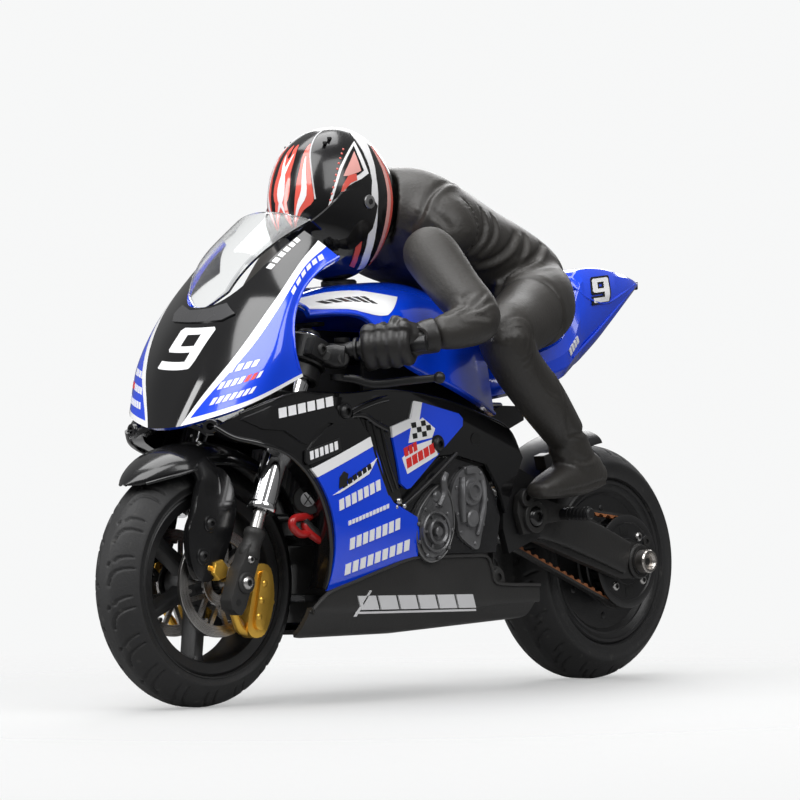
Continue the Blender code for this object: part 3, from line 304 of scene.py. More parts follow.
def turned(profile, origin, axis=SIDE, segments=64, mat=0):
    """Turn a closed profile of (radius, distance along the axis) about an axis."""
    axis = axis.normalized()
    across = axis.orthogonal().normalized()
    other = axis.cross(across)
    rings = []
    for step in range(segments):
        angle = 2.0 * math.pi * step / segments
        out = across * math.cos(angle) + other * math.sin(angle)
        rings.append([origin + out * radius + axis * along for radius, along in profile])
    return loft(rings, closed=True, mat=mat)


def disc(radius, low, high, origin, axis, segments, mat=0):
    """A plain round plate between two distances along an axis."""
    return turned([(0.0, low), (radius, low), (radius, high), (0.0, high)], origin, axis, segments, mat)


def outward(angle):
    """The direction at an angle round a sideways axis, counted from straight ahead."""
    return Vector((math.cos(angle), 0.0, math.sin(angle)))


def directions(count, start=0.0):
    """Evenly spaced directions round a sideways axis, the first at start degrees."""
    return [outward(math.radians(start + 360.0 / count * step)) for step in range(count)]


def rod(start, end, radius, segments=32):
    """A round bar with softened ends."""
    axis = end - start
    length = axis.length
    edge = min(ROD_EDGE, radius * 0.4, length * 0.4)
    profile = [(0.0, 0.0), (radius - edge, 0.0), (radius, edge), (radius, length - edge),
               (radius - edge, length), (0.0, length)]
    return turned(profile, start, axis, segments)


def tube(start, end, radius, bore, segments=48, edge=0.15):
    """A round bar with a bore through it."""
    axis = end - start
    length = axis.length
    profile = [(bore, 0.0), (radius - edge, 0.0), (radius, edge), (radius, length - edge),
               (radius - edge, length), (bore, length)]
    return turned(profile, start, axis, segments)


def dome(centre, axis, radius, height, segments=24):
    """A low rounded button standing on a plane at centre."""
    axis = axis.normalized()
    profile = [(0.0, -height * 0.3), (radius, -height * 0.3)]
    for step in range(6):
        angle = 0.5 * math.pi * step / 5.0
        profile.append((radius * math.cos(angle), height * math.sin(angle)))
    return turned(profile[:-1] + [(0.0, height)], centre, axis, segments)


def block(centre, size, tilt=0.0, turn=0.0):
    """A box with bevelled edges."""
    mesh = bmesh.new()
    bmesh.ops.create_cube(mesh, size=1.0)
    bmesh.ops.scale(mesh, vec=size, verts=mesh.verts)
    soft = min(BLOCK_EDGE, 0.3 * min(size))
    bmesh.ops.bevel(mesh, geom=mesh.edges[:], offset=soft, segments=2, affect="EDGES", profile=0.7)
    bmesh.ops.rotate(mesh, matrix=Matrix.Rotation(tilt, 3, "Y"), verts=mesh.verts)
    bmesh.ops.rotate(mesh, matrix=Matrix.Rotation(turn, 3, "Z"), verts=mesh.verts)
    bmesh.ops.translate(mesh, vec=centre, verts=mesh.verts)
    return mesh


def prism(outline, low, high, soft=0.0):
    """Extrude an outline of (x, z) points from y = low to y = high."""
    low, high = sorted((low, high))
    mesh = loft([[Vector((x, y, z)) for x, z in outline] for y in (low, high)])
    if soft > 0.0:
        bmesh.ops.bevel(mesh, geom=mesh.edges[:], offset=soft, segments=2, affect="EDGES", profile=0.7,
                        clamp_overlap=True)
    return mesh


def curve_points(points, steps):
    """Points along a Catmull-Rom curve through the given points."""
    points = [Vector(p) for p in points]
    ends = [points[0] * 2.0 - points[1]] + points + [points[-1] * 2.0 - points[-2]]
    made = []
    for i in range(1, len(ends) - 2):
        a, b, c, d = ends[i - 1], ends[i], ends[i + 1], ends[i + 2]
        for step in range(steps):
            t = step / steps
            made.append(
                (b * 2.0 + (c - a) * t + (a * 2.0 - b * 5.0 + c * 4.0 - d) * t ** 2
                 + (b * 3.0 - a - c * 3.0 + d) * t ** 3) * 0.5
            )
    made.append(points[-1].copy())
    return made


def smooth_outline(points, steps=4):
    """A closed outline of (x, z) points, rounded through its points."""
    closed = [Vector((x, z, 0.0)) for x, z in points]
    around = [closed[-1]] + closed + [closed[0], closed[1]]
    made = curve_points(around, steps)[steps:-steps]
    return [(p.x, p.y) for p in made[:-1]]


def oval(centre, normal, wide, half_wide, half_tall, count=24, power=2.0):
    """A superellipse ring: wide is the direction of half_wide."""
    normal = normal.normalized()
    wide = (wide - normal * wide.dot(normal)).normalized()
    tall = normal.cross(wide)
    ring = []
    for step in range(count):
        angle = 2.0 * math.pi * step / count
        c = math.cos(angle)
        s = math.sin(angle)
        u = math.copysign(abs(c) ** (2.0 / power), c)
        v = math.copysign(abs(s) ** (2.0 / power), s)
        ring.append(centre + wide * (half_wide * u) + tall * (half_tall * v))
    return ring


def limb(stations, steps=6, count=28, wide=SIDE, power=2.0):
    """A smooth round-ended limb through (centre, half width, half depth) stations."""
    centres = curve_points([s[0] for s in stations], steps)
    sizes = curve_points([Vector((s[1], s[2], 0.0)) for s in stations], steps)
    rings = []
    last = len(centres) - 1
    for i, centre in enumerate(centres):
        way = (centres[min(i + 1, last)] - centres[max(i - 1, 0)]).normalized()
        size = sizes[i]
        if i == 0:
            for share in (0.35, 0.75):
                rings.append(oval(centre - way * (min(size.x, size.y) * 0.5 * (1.0 - share)), way, wide,
                                  size.x * share, size.y * share, count, power))
        rings.append(oval(centre, way, wide, size.x, size.y, count, power))
        if i == last:
            for share in (0.75, 0.35):
                rings.append(oval(centre + way * (min(size.x, size.y) * 0.5 * (1.0 - share)), way, wide,
                                  size.x * share, size.y * share, count, power))
    return loft(rings)


def cable(points, radius, steps=6, count=12):
    """A round cord, bead or bar along a smooth line through the points."""
    line = curve_points(points, steps)
    rings = []
    for i, centre in enumerate(line):
        way = line[min(i + 1, len(line) - 1)] - line[max(i - 1, 0)]
        rings.append(oval(centre, way, SIDE if abs(way.normalized().y) < 0.9 else UP, radius, radius, count))
    return loft(rings)


def skin(grid, thickness, mats=None, back=None):
    """Thicken an open grid of points against its normal into one closed sheet."""
    rows = len(grid)
    cols = len(grid[0])
    inner = []
    for i in range(rows):
        line = []
        for j in range(cols):
            down = grid[min(i + 1, rows - 1)][j] - grid[max(i - 1, 0)][j]
            along = grid[i][min(j + 1, cols - 1)] - grid[i][max(j - 1, 0)]
            line.append(grid[i][j] - down.cross(along).normalized() * thickness)
        inner.append(line)
    mesh = bmesh.new()
    top = [[mesh.verts.new(p) for p in line] for line in grid]
    under = [[mesh.verts.new(p) for p in line] for line in inner]
    for i in range(rows - 1):
        for j in range(cols - 1):
            face = mesh.faces.new((top[i][j], top[i + 1][j], top[i + 1][j + 1], top[i][j + 1]))
            face.material_index = mats(i, j) if mats else 0
            face = mesh.faces.new((under[i][j], under[i][j + 1], under[i + 1][j + 1], under[i + 1][j]))
            face.material_index = back if back is not None else mats(i, j) if mats else 0
    for i in range(rows - 1):
        for j in (0, cols - 1):
            mesh.faces.new((top[i][j], top[i + 1][j], under[i + 1][j], under[i][j]))
    for j in range(cols - 1):
        for i in (0, rows - 1):
            mesh.faces.new((top[i][j], top[i][j + 1], under[i][j + 1], under[i][j]))
    bmesh.ops.recalc_face_normals(mesh, faces=mesh.faces)
    return mesh


def cut_grid(outline, cell):
    """A flat outline of (u, v) points filled and cut into small cells, as a mesh in X and Z."""
    mesh = bmesh.new()
    mesh.faces.new([mesh.verts.new((x, 0.0, z)) for x, z in outline])
    for axis, column in ((Vector((1, 0, 0)), 0), (Vector((0, 0, 1)), 1)):
        low = min(p[column] for p in outline)
        high = max(p[column] for p in outline)
        for step in range(1, int((high - low) / cell) + 1):
            geometry = mesh.verts[:] + mesh.edges[:] + mesh.faces[:]
            bmesh.ops.bisect_plane(mesh, geom=geometry, plane_co=axis * (low + cell * step),
                                   plane_no=axis, dist=0.002)
    return mesh


def sticker(outline, place, cell=1.5, under=-0.12, over=0.05):
    """A thin closed sheet: an outline in (u, v), laid on a surface by place(u, v, height)."""
    mesh = cut_grid(outline, cell)
    outer = list(mesh.verts)
    faces = [tuple(face.verts) for face in mesh.faces]
    border = [tuple(edge.verts) for edge in mesh.edges if len(edge.link_faces) == 1]
    flat = {vert: (vert.co.x, vert.co.z) for vert in outer}
    inner = {vert: mesh.verts.new(place(*flat[vert], under)) for vert in outer}
    for vert in outer:
        vert.co = place(*flat[vert], over)
    for corners in faces:
        mesh.faces.new([inner[v] for v in reversed(corners)])
    for a, b in border:
        mesh.faces.new((a, b, inner[b], inner[a]))
    bmesh.ops.recalc_face_normals(mesh, faces=mesh.faces)
    return mesh


def mirrored(mesh):
    """A copy on the other side of the machine's middle plane."""
    copy = mesh.copy()
    bmesh.ops.scale(copy, vec=(1.0, -1.0, 1.0), verts=copy.verts)
    bmesh.ops.recalc_face_normals(copy, faces=copy.faces)
    return copy


def joined(*meshes):
    """Several closed meshes as one."""
    whole = bmesh.new()
    for mesh in meshes:
        data = bpy.data.meshes.new("part")
        mesh.to_mesh(data)
        whole.from_mesh(data)
        bpy.data.meshes.remove(data)
    return whole


def combine(base, others, operation="UNION"):
    """Boolean the other meshes into the base one at a time."""
    for other in others:
        pair = []
        for mesh in (base, other):
            data = bpy.data.meshes.new("working")
            mesh.to_mesh(data)
            holder = bpy.data.objects.new("working", data)
            bpy.context.collection.objects.link(holder)
            pair.append(holder)
        tool = pair[0].modifiers.new("cut", "BOOLEAN")
        tool.operation = operation
        tool.object = pair[1]
        seen = pair[0].evaluated_get(bpy.context.evaluated_depsgraph_get())
        base = bmesh.new()
        base.from_mesh(seen.to_mesh())
        for holder in pair:
            bpy.data.objects.remove(holder)
        tidy(base)
    return base


def piece(name, mesh, finishes, body, stands_for=(), bevel=0.0, level=0, sharp=35.0, slot=None):
    """Make one visible piece, let it ride on its body, and hide the nodes it stands for."""
    data = bpy.data.meshes.new(name)
    bmesh.ops.scale(mesh, vec=(MM, MM, MM), verts=mesh.verts)
    mesh.to_mesh(data)
    for finish in finishes if isinstance(finishes, (list, tuple)) else [finishes]:
        data.materials.append(finish)
    data.shade_smooth()
    if sharp < 180.0:
        data.set_sharp_from_angle(angle=math.radians(sharp))
    made = bpy.data.objects.new(name, data)
    bpy.context.collection.objects.link(made)
    if bevel > 0.0:
        edge = made.modifiers.new("soft_edges", "BEVEL")
        edge.width = bevel * MM
        edge.segments = 2
        edge.limit_method = "ANGLE"
        edge.angle_limit = math.radians(38.0)
        edge.harden_normals = False
    if level > 0:
        fine = made.modifiers.new("fine", "SUBSURF")
        fine.levels = level
        fine.render_levels = level
    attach(made, body)
    if stands_for:
        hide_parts(*([stands_for] if isinstance(stands_for, str) else stands_for))
    return made


def both_sides(name, mesh, finishes, body, stands_for=None, **more):
    """The left piece and its mirror image on the right."""
    right = mirrored(mesh)
    for (side, _), half in zip(LEFT_RIGHT, (mesh, right)):
        nodes = (stands_for + "_" + side,) if stands_for else ()
        piece(name + "_" + side, half, finishes, body, nodes, **more)


def on_fork(along, across=0.0, ahead=0.0):
    """A point given by its distance up the fork line from the front axle."""
    return FRONT_AXLE + FORK_UP * along + SIDE * across + FORK_FORWARD * ahead


def at_side(point, side):
    return Vector((point[0], point[1] * side, point[2]))


def socket_screw(centre, axis, radius=1.5, height=1.0, segments=24):
    """A button-head screw with a six-sided socket; its head is finish 0 and the socket finish 1, a near-black
    floor that is painted shade in the socket.
    """
    axis = axis.normalized()
    cup = radius * 0.48
    head = turned([(cup, -0.4), (radius, -0.4), (radius, height * 0.35), (radius * 0.86, height * 0.78),
                   (radius * 0.62, height), (cup, height)], centre, axis, segments)
    floor = disc(cup * 1.02, -0.3, height * 0.35, centre, axis, 6, 1)
    return joined(head, floor)


# ---- tyres and wheels ---------------------------------------------------
def stroke_depth(points, strokes, width):
    """How deep a groove is at each point: 1 on a stroke's line, 0 beyond its width."""
    depth = np.zeros(len(points))
    for stroke in strokes:
        line = np.array(stroke, float)
        for a, b in zip(line[:-1], line[1:]):
            way = b - a
            share = np.clip(((points - a) @ way) / (way @ way), 0.0, 1.0)
            gap = np.linalg.norm(points - (a + share[:, None] * way), axis=1)
            depth = np.maximum(depth, np.clip(1.35 * (1.0 - gap / width), 0.0, 1.0))
    return depth


GROOVE_DEPTH = 0.5
GROOVE_WIDTH = 0.42


def tyre(node, body, centre, radius, half, flat, drop, bead, repeats, strokes):
    """A tyre with a round crown, a moulded side band and grooves pressed into the tread."""
    crown = []
    for step in range(-22, 23):
        y = half * step / 22.0
        past = max(0.0, abs(y) - flat) / (half - flat)
        crown.append((radius - drop * past ** 1.75 - (0.0 if abs(y) < flat else 0.08), y))
    edge = radius - drop
    band = edge - bead
    side = [(edge - share * band, half + step) for share, step in
            ((0.12, 0.02), (0.22, -0.05), (0.3, -0.28), (0.75, -0.42), (0.82, -0.16), (0.92, -0.2))]
    side += [(bead + 0.15, half - 0.75), (bead, half - 0.95)]
    profile = crown + side + [(bead, half - 2.4), (bead, 2.4 - half)] + [(r, -y) for r, y in reversed(side)]
    segments = repeats * 44
    mesh = turned(profile, centre, SIDE, segments)
    co = np.array([v.co - centre for v in mesh.verts])
    reach = np.hypot(co[:, 0], co[:, 2])
    turn = np.arctan2(co[:, 2], co[:, 0])
    pitch = 2.0 * math.pi * radius / repeats
    on_crown = (reach > edge - 0.05) & (np.abs(co[:, 1]) <= half + 0.01)
    cut = np.zeros(len(co))
    for side_sign in (1.0, -1.0):
        along = (turn * radius + (0.0 if side_sign > 0 else pitch * 0.5)) % pitch
        flatness = np.stack([along, co[:, 1] * side_sign], axis=1)
        for shift in (-pitch, 0.0, pitch):
            cut = np.maximum(cut, stroke_depth(flatness + np.array([shift, 0.0]), strokes, GROOVE_WIDTH))
    cut = np.where(on_crown, cut * GROOVE_DEPTH, 0.0)
    for vert, amount, far in zip(mesh.verts, cut, reach):
        if amount > 0.0:
            share = 1.0 - amount / far
            vert.co = Vector(((vert.co.x - centre.x) * share + centre.x, vert.co.y,
                              (vert.co.z - centre.z) * share + centre.z))
    return piece(node + "_moulded", mesh, RUBBER, body, node, sharp=50.0, slot="tyre_rubber")


def tyres():
    front_strokes = [
        [(0.0, 1.9), (1.9, 2.3), (3.3, 3.2), (4.1, 4.6), (4.4, 5.8)],
        [(4.6, 1.4), (5.2, 1.7)],
        [(5.6, 2.9), (6.5, 3.5), (7.1, 4.7), (7.3, 5.5)],
    ]
    tyre("front_tyre", "front_wheel", FRONT_AXLE, FRONT_RADIUS, FRONT_HALF - 0.1, 1.5, 4.9, 21.6, 18,
         front_strokes)
    rear_strokes = [
        [(0.0, 2.6), (2.4, 3.4), (3.8, 4.8), (4.4, 6.6)],
        [(5.2, 3.4), (6.6, 4.4), (7.4, 6.0)],
        [(9.0, 5.0), (9.8, 6.2), (10.1, 7.4)],
    ]
    tyre("rear_tyre", "rear_wheel", REAR_AXLE, REAR_RADIUS, REAR_HALF - 0.1, 2.2, 4.7, 21.9, 16, rear_strokes)


def front_rim():
    rim = turned([(18.2, -4.6), (18.6, -5.3), (20.9, -5.9), (21.6, -5.5), (21.6, -3.6), (20.2, -2.6),
                  (19.7, 0.0), (20.2, 2.6), (21.6, 3.6), (21.6, 5.5), (20.9, 5.9), (18.6, 5.3), (18.2, 4.6),
                  (18.0, 0.0)], FRONT_AXLE, SIDE, 128)
    hub = turned([(1.8, -6.8), (3.6, -6.8), (4.1, -6.4), (4.4, -4.2), (5.6, -3.2), (6.0, 0.0), (5.6, 3.2),
                  (4.4, 4.2), (4.1, 6.4), (3.6, 6.8), (1.8, 6.8)], FRONT_AXLE, SIDE, 64)
    parts = [rim, hub]
    for out in directions(6, 36.0):
        across = out.cross(SIDE)
        rings = []
        for reach, half, thick in ((4.6, 2.3, 2.6), (6.4, 1.55, 2.9), (12.0, 1.3, 3.0), (16.8, 1.25, 3.0),
                                   (18.6, 2.0, 3.2), (19.4, 3.0, 3.4)):
            middle = FRONT_AXLE + out * reach
            rings.append(oval(middle, out, across, half, thick, 20, 4.5))
        parts.append(loft(rings))
        parts.append(dome(FRONT_AXLE + out * 3.0 + SIDE * 6.6, SIDE, 0.55, 0.4, 12))
    piece("front_rim_cast", joined(*parts), WHEEL_BLACK, "front_wheel", "front_rim", sharp=40.0,
          slot="wheel_plastic")


def brake_disc(side):
    """A disc of two rings joined by zigzag arms, with a rivet beside each pair of arms."""
    low, high = sorted((7.25 * side, 8.15 * side))

    def ring(inner, outer):
        return turned([(inner, low + 0.1), (inner + 0.1, low), (outer - 0.1, low), (outer, low + 0.1),
                       (outer, high - 0.1), (outer - 0.1, high), (inner + 0.1, high), (inner, high - 0.1)],
                      FRONT_AXLE, SIDE, 96)

    parts = [ring(9.9, 12.6), ring(2.7, 5.2)]
    for step in range(7):
        base = 2.0 * math.pi * (step + 0.3) / 7
        for lean in (-0.26, 0.26):
            near = outward(base) * 4.6
            far = outward(base + lean) * 10.3
            way = (far - near).normalized()
            across = way.cross(SIDE) * 0.55
            rings = []
            for y in (low + 0.08, high - 0.08):
                rings.append([FRONT_AXLE + near + across + SIDE * y, FRONT_AXLE + near - across + SIDE * y,
                              FRONT_AXLE + far - across + SIDE * y, FRONT_AXLE + far + across + SIDE * y])
            parts.append(loft(rings))
        rivet = FRONT_AXLE + outward(base + 0.45) * 9.6
        parts.append(disc(0.5, low - 0.12, high + 0.12, rivet, SIDE, 12))
    return joined(*parts)


def front_brakes():
    for name, side in LEFT_RIGHT:
        piece("brake_disc_" + name + "_turned", brake_disc(side), FRONT_DISC, "front_wheel",
              "brake_disc_" + name, slot="steel")
    outline = smooth_outline([(59.2, 31.9), (62.4, 33.1), (64.3, 31.6), (65.2, 27.0), (66.6, 21.0),
                              (66.9, 17.6), (64.8, 15.9), (61.6, 16.6), (59.4, 20.4), (58.2, 26.0)], 3)
    body = prism(outline, 8.9, 12.4, 0.45)
    face = prism(smooth_outline([(60.6, 30.6), (62.6, 31.4), (63.4, 29.6), (64.4, 24.4), (65.3, 19.8),
                                 (64.4, 17.8), (62.4, 18.4), (61.0, 22.6), (60.0, 27.0)], 3), 12.0, 13.3, 0.4)
    parts = [body, face]
    for x, z in ((58.6, 28.6), (57.9, 24.0)):
        parts.append(dome(Vector((x + 0.7, 10.7, z)), Vector((-1.0, 0.15, 0.0)), 1.25, 1.5, 20))
    for x, z in ((62.2, 28.4), (63.2, 24.6), (64.1, 20.8)):
        parts.append(dome(Vector((x, 13.2, z)), SIDE, 0.9, 0.45, 20))
    foot = limb([(Vector((65.8, 10.6, 17.4)), 1.1, 1.3), (Vector((68.0, 10.8, 18.0)), 1.0, 1.2),
                 (Vector((69.6, 11.2, 20.2)), 0.9, 1.0), (Vector((71.0, 11.4, 22.6)), 0.9, 0.9)], 4, 16, UP)
    parts.append(foot)
    inner = prism(smooth_outline([(59.6, 30.4), (62.0, 30.8), (64.0, 19.0), (62.4, 17.6), (60.2, 19.4)], 3),
                  6.0, 6.7, 0.2)
    both_sides("caliper", joined(*parts, inner), GOLD,
               "fork_slider", "brake_caliper", slot="gold", sharp=50.0)
    arm = joined(
        cable([(71.6, 10.0, 28.6), (72.9, 10.8, 26.4), (71.8, 11.3, 23.6), (69.8, 11.4, 21.2),
               (67.6, 11.2, 19.0)],
              0.62, 5, 12),
        turned([(0.5, 8.6), (1.9, 8.6), (1.9, 10.2), (0.5, 10.2)], Vector((73.6, 0.0, 31.6)), SIDE, 6),
    )
    both_sides("caliper_arm", arm, BRONZE, "fork_slider")
    nut = joined(
        turned([(0.0, 8.7), (2.3, 8.7), (2.5, 9.0), (2.5, 11.4), (2.2, 11.8), (0.0, 11.8)],
               Vector((74.6, 0.0, 31.8)), SIDE, 6),
        rod(Vector((73.4, 9.9, 31.6)), Vector((78.0, 9.9, 32.4)), 1.15, 24),
    )
    both_sides("brake_fitting", nut, GOLD, "fork_slider")
    axle = rod(FRONT_AXLE - SIDE * 16.9, FRONT_AXLE + SIDE * 16.9, 1.5, 32)
    piece("front_axle_turned", axle, STEEL, "fork_slider", "front_axle", slot="steel")


def rear_rim():
    half = [(21.8, 5.6), (21.8, 8.2), (21.2, 8.75), (20.5, 8.55), (20.1, 7.9), (19.2, 7.3), (18.6, 7.35),
            (18.2, 6.9), (17.6, 6.3), (10.6, 6.6), (10.2, 7.1), (8.6, 7.3), (6.0, 7.6), (5.4, 8.6),
            (1.8, 8.6)]
    outline = half + [(r, -y) for r, y in reversed(half)]
    parts = [turned(outline, REAR_AXLE, SIDE, 144)]
    for out in directions(6, 30.0):
        for side in (1.0, -1.0):
            parts.append(dome(REAR_AXLE + out * 14.2 + SIDE * (6.4 * side), SIDE * side, 1.0, 0.35, 20))
    piece("rear_disc_wheel", joined(*parts), WHEEL_BLACK, "rear_wheel", "rear_rim", sharp=30.0,
          slot="wheel_plastic")


def rear_pulley():
    profile = [(1.8, 8.7), (9.4, 8.7), (9.6, 10.3), (12.0, 10.3), (12.3, 10.5), (12.3, 11.0), (12.0, 11.3),
               (10.3, 11.3), (10.3, 14.3), (12.0, 14.3), (12.3, 14.55), (12.3, 14.9), (12.0, 15.1),
               (10.4, 15.1), (10.1, 14.8), (6.2, 14.8), (5.9, 15.2), (4.2, 15.2), (4.0, 15.6), (1.8, 15.6)]
    parts = [turned(profile, REAR_AXLE, SIDE, 128)]
    for out in directions(24):
        across = out.cross(SIDE)
        rings = []
        for y in (11.2, 14.4):
            rings.append([REAR_AXLE + out * 10.1 + across * 0.75 + SIDE * y,
                          REAR_AXLE + out * 10.1 - across * 0.75 + SIDE * y,
                          REAR_AXLE + out * 11.3 - across * 0.42 + SIDE * y,
                          REAR_AXLE + out * 11.3 + across * 0.42 + SIDE * y])
        parts.append(loft(rings))
    piece("rear_pulley_moulded", joined(*parts), SATIN_BLACK, "rear_wheel", "rear_pulley",
          slot="black_plastic")
    screws = []
    for out in directions(4, 38.0):
        screws.append(socket_screw(REAR_AXLE + out * 8.1 + SIDE * 14.75, SIDE, 1.25, 0.7, segments=20))
    piece("pulley_screws", joined(*screws), [STEEL, BLACK_PRINT_AND_SHADE], "rear_wheel")
    # Thin near-black blocks for the pulley's windows: painted shade in the openings.
    pockets = []
    for step in range(4):
        angle = math.radians(-7.0 + 90.0 * step)
        out = outward(angle)
        pockets.append(block(REAR_AXLE + out * 8.0 + SIDE * 14.75, (2.6, 0.25, 3.4), -angle))
    piece("pulley_pockets", joined(*pockets), BLACK_PRINT_AND_SHADE, "rear_wheel")


BIG_PULLEY = 11.4
SMALL_PULLEY = 4.8
BELT_PITCH = 3.0
BELT_STEP = 0.2


def belt_path():
    """Evenly spaced (point, outward, distance, whole length) along the belt round both pulleys."""
    big = Vector((REAR_AXLE.x, REAR_AXLE.z))
    small = Vector((SWING_PIVOT.x, SWING_PIVOT.z))
    line = small - big
    lean = math.acos((BIG_PULLEY - SMALL_PULLEY) / line.length)
    heading = math.atan2(line.y, line.x)
    points = []
    for step in range(81):
        angle = heading + lean + (2.0 * math.pi - 2.0 * lean) * step / 80
        way = Vector((math.cos(angle), math.sin(angle)))
        points.append((big + way * BIG_PULLEY, way))
    for step in range(41):
        angle = heading - lean + 2.0 * lean * step / 40
        way = Vector((math.cos(angle), math.sin(angle)))
        points.append((small + way * SMALL_PULLEY, way))
    lengths = [0.0]
    loop = points + [points[0]]
    for (a, _), (b, _) in zip(loop, loop[1:]):
        lengths.append(lengths[-1] + (b - a).length)
    count = int(lengths[-1] / BELT_STEP)
    made = []
    at = 0
    for step in range(count):
        want = lengths[-1] * step / count
        while lengths[at + 1] < want:
            at += 1
        share = (want - lengths[at]) / (lengths[at + 1] - lengths[at])
        (a, out_a), (b, out_b) = loop[at], loop[at + 1]
        made.append((a.lerp(b, share), out_a.lerp(out_b, share).normalized(), want, lengths[-1]))
    return made


def drive_belt():
    """A toothed belt: a dark back with a brown toothed inside."""
    back, teeth = [], []
    for point, out, along, whole in belt_path():
        tooth_count = round(whole / BELT_PITCH)
        wave = math.cos(2.0 * math.pi * along * tooth_count / whole)
        deep = 0.05 + 0.62 * (1.0 + math.tanh(2.4 * wave) / math.tanh(2.4)) * 0.5

        def spot(offset, y):
            flat = point + out * offset
            return Vector((flat.x, y, flat.y))

        back.append([spot(0.9, 11.7), spot(0.9, 13.9), spot(0.16, 13.9), spot(0.16, 11.7)])
        teeth.append([spot(0.24, 11.75), spot(0.24, 13.94), spot(0.1 - deep, 13.94), spot(0.1 - deep, 11.75)])
    piece("drive_belt_back", loft(back, closed=True), BELT_BACK, "swing_arm", "drive_belt",
          slot="belt_rubber")
    piece("drive_belt_teeth", loft(teeth, closed=True), BELT_TEETH, "swing_arm", slot="belt_rubber")


def motor_and_pulley():
    profile = [(1.0, 10.7), (5.6, 10.7), (5.8, 10.9), (5.8, 11.2), (4.3, 11.4), (4.3, 14.2), (5.8, 14.4),
               (5.8, 14.8), (5.6, 15.0), (1.0, 15.0)]
    parts = [turned(profile, SWING_PIVOT, SIDE, 48)]
    for out in directions(10):
        parts.append(disc(0.55, 11.3, 14.3, SWING_PIVOT + out * 4.1,
                            SIDE, 10))
    piece("motor_pulley_cut", joined(*parts), ALUMINIUM, "motor_drive", "motor_pulley", slot="aluminium")
    can = [(0.0, -10.0), (6.4, -10.0), (7.5, -9.2), (7.6, -8.8), (7.6, 6.4), (7.2, 6.6), (7.2, 7.0),
           (7.6, 7.2), (7.6, 9.0), (7.0, 9.6), (0.8, 9.6), (0.8, 15.5), (0.0, 15.5)]
    parts = [turned(can, SWING_PIVOT, SIDE, 64)]
    for out in directions(8):
        parts.append(disc(0.9, 9.5, 9.75, SWING_PIVOT + out * 5.0, SIDE, 12))
    piece("motor_can", joined(*parts), STEEL, "chassis", "motor", slot="steel")


tyres()
front_rim()
front_brakes()
rear_rim()
rear_pulley()
drive_belt()
motor_and_pulley()


# ---- front fork and steering -------------------------------------------
def fork_tubes():
    for name, side in LEFT_RIGHT:
        y = FORK_SPACING * side
        base = on_fork(17.7, y)
        top = 62.0 - 17.7
        profile = [(1.95, 0.0), (3.35, 0.0), (3.45, 0.15), (3.45, 1.5), (3.3, 1.75), (3.18, 1.8),
                   (3.18, top - 0.3), (2.9, top), (1.95, top)]
        piece("fork_tube_" + name + "_chromed", turned(profile, base, FORK_UP, 72), CHROME, "steering_head",
              "fork_tube_" + name, slot="chrome")
        cap = joined(turned([(0.0, 61.4), (2.6, 61.4), (2.75, 61.8), (2.75, 62.6), (2.4, 63.0), (0.0, 63.0)],
                            on_fork(0.0, y), FORK_UP, 40),
                     turned([(0.0, 62.8), (1.2, 62.8), (1.2, 63.5), (1.0, 63.7), (0.0, 63.7)],
                            on_fork(0.0, y), FORK_UP, 6))
        piece("fork_cap_" + name, cap, SATIN_BLACK, "steering_head")


def fork_leg():
    """Stanchion, dust sleeve and the flat lower lug of the left leg."""
    y = FORK_SPACING
    stanchion = rod(on_fork(6.0, y), on_fork(44.0, y), 1.5, 32)
    sleeve = turned([(1.4, 6.2), (2.35, 6.2), (2.5, 6.6), (2.5, 8.0), (2.3, 8.3), (2.3, 11.2), (2.5, 11.5),
                     (2.5, 12.6), (2.2, 13.1), (1.4, 13.1)], on_fork(0.0, y), FORK_UP, 40)
    corners = [(-7.4, -1.6), (-7.6, -0.2), (-7.2, 1.9), (-5.4, 3.0), (2.2, 2.9), (4.2, 2.4), (7.4, 2.3),
               (9.4, 1.6), (9.4, -1.5), (7.0, -2.2), (-5.2, -2.2)]
    outline = [(p.x, p.z) for p in (on_fork(along, 0.0, ahead) for along, ahead in corners)]
    lug = prism(outline, y - 2.1, y + 1.8, 0.55)
    pad = turned([(0.0, 0.0), (2.5, 0.0), (2.5, 2.1), (2.2, 2.4), (0.0, 2.4)], on_fork(0.0, y), SIDE, 32)
    return joined(lug, pad), sleeve, stanchion


def fork_legs():
    lug, sleeve, stanchion = fork_leg()
    both_sides("fork_leg", joined(lug, sleeve), MATT_BLACK, "fork_slider", "fork_leg", slot="black_plastic")
    both_sides("stanchion", stanchion, STEEL, "fork_slider")
    y = FORK_SPACING
    screw = joined(socket_screw(on_fork(0.0, y + 2.3), SIDE, 1.55, 0.8),
                   socket_screw(on_fork(5.6, y + 1.7, 0.4), SIDE, 1.0, 0.5))
    both_sides("leg_screws", screw, [STEEL, BLACK_PRINT_AND_SHADE], "fork_slider")
    # A near-black disc for the hole in the lug: painted shade.
    hole = disc(0.75, 0.0, 0.12, on_fork(-5.0, y + 1.75, 0.6), SIDE, 24)
    both_sides("leg_hole", hole, BLACK_PRINT_AND_SHADE, "fork_slider")


FENDER_FROM = 46.0
FENDER_ROUND = 104.0
FENDER_BOTTOM = 31.8
FENDER_SCREWS = ((77.0, 42.4), (79.4, 35.0))


def fender_ring(angle, narrow):
    """One section of the front mudguard, from skirt to skirt, as points across the tyre."""
    out = outward(angle)
    points = []
    for step in range(-12, 13):
        share = step / 12.0
        y = 9.7 * math.sin(share * math.pi / 2.0)
        radius = 32.9 - 5.4 * (1.0 - math.cos(share * math.pi / 2.0))
        reach = FENDER_BOTTOM + (radius - FENDER_BOTTOM) * narrow
        points.append(FRONT_AXLE + out * reach + SIDE * (y * narrow))
    return points


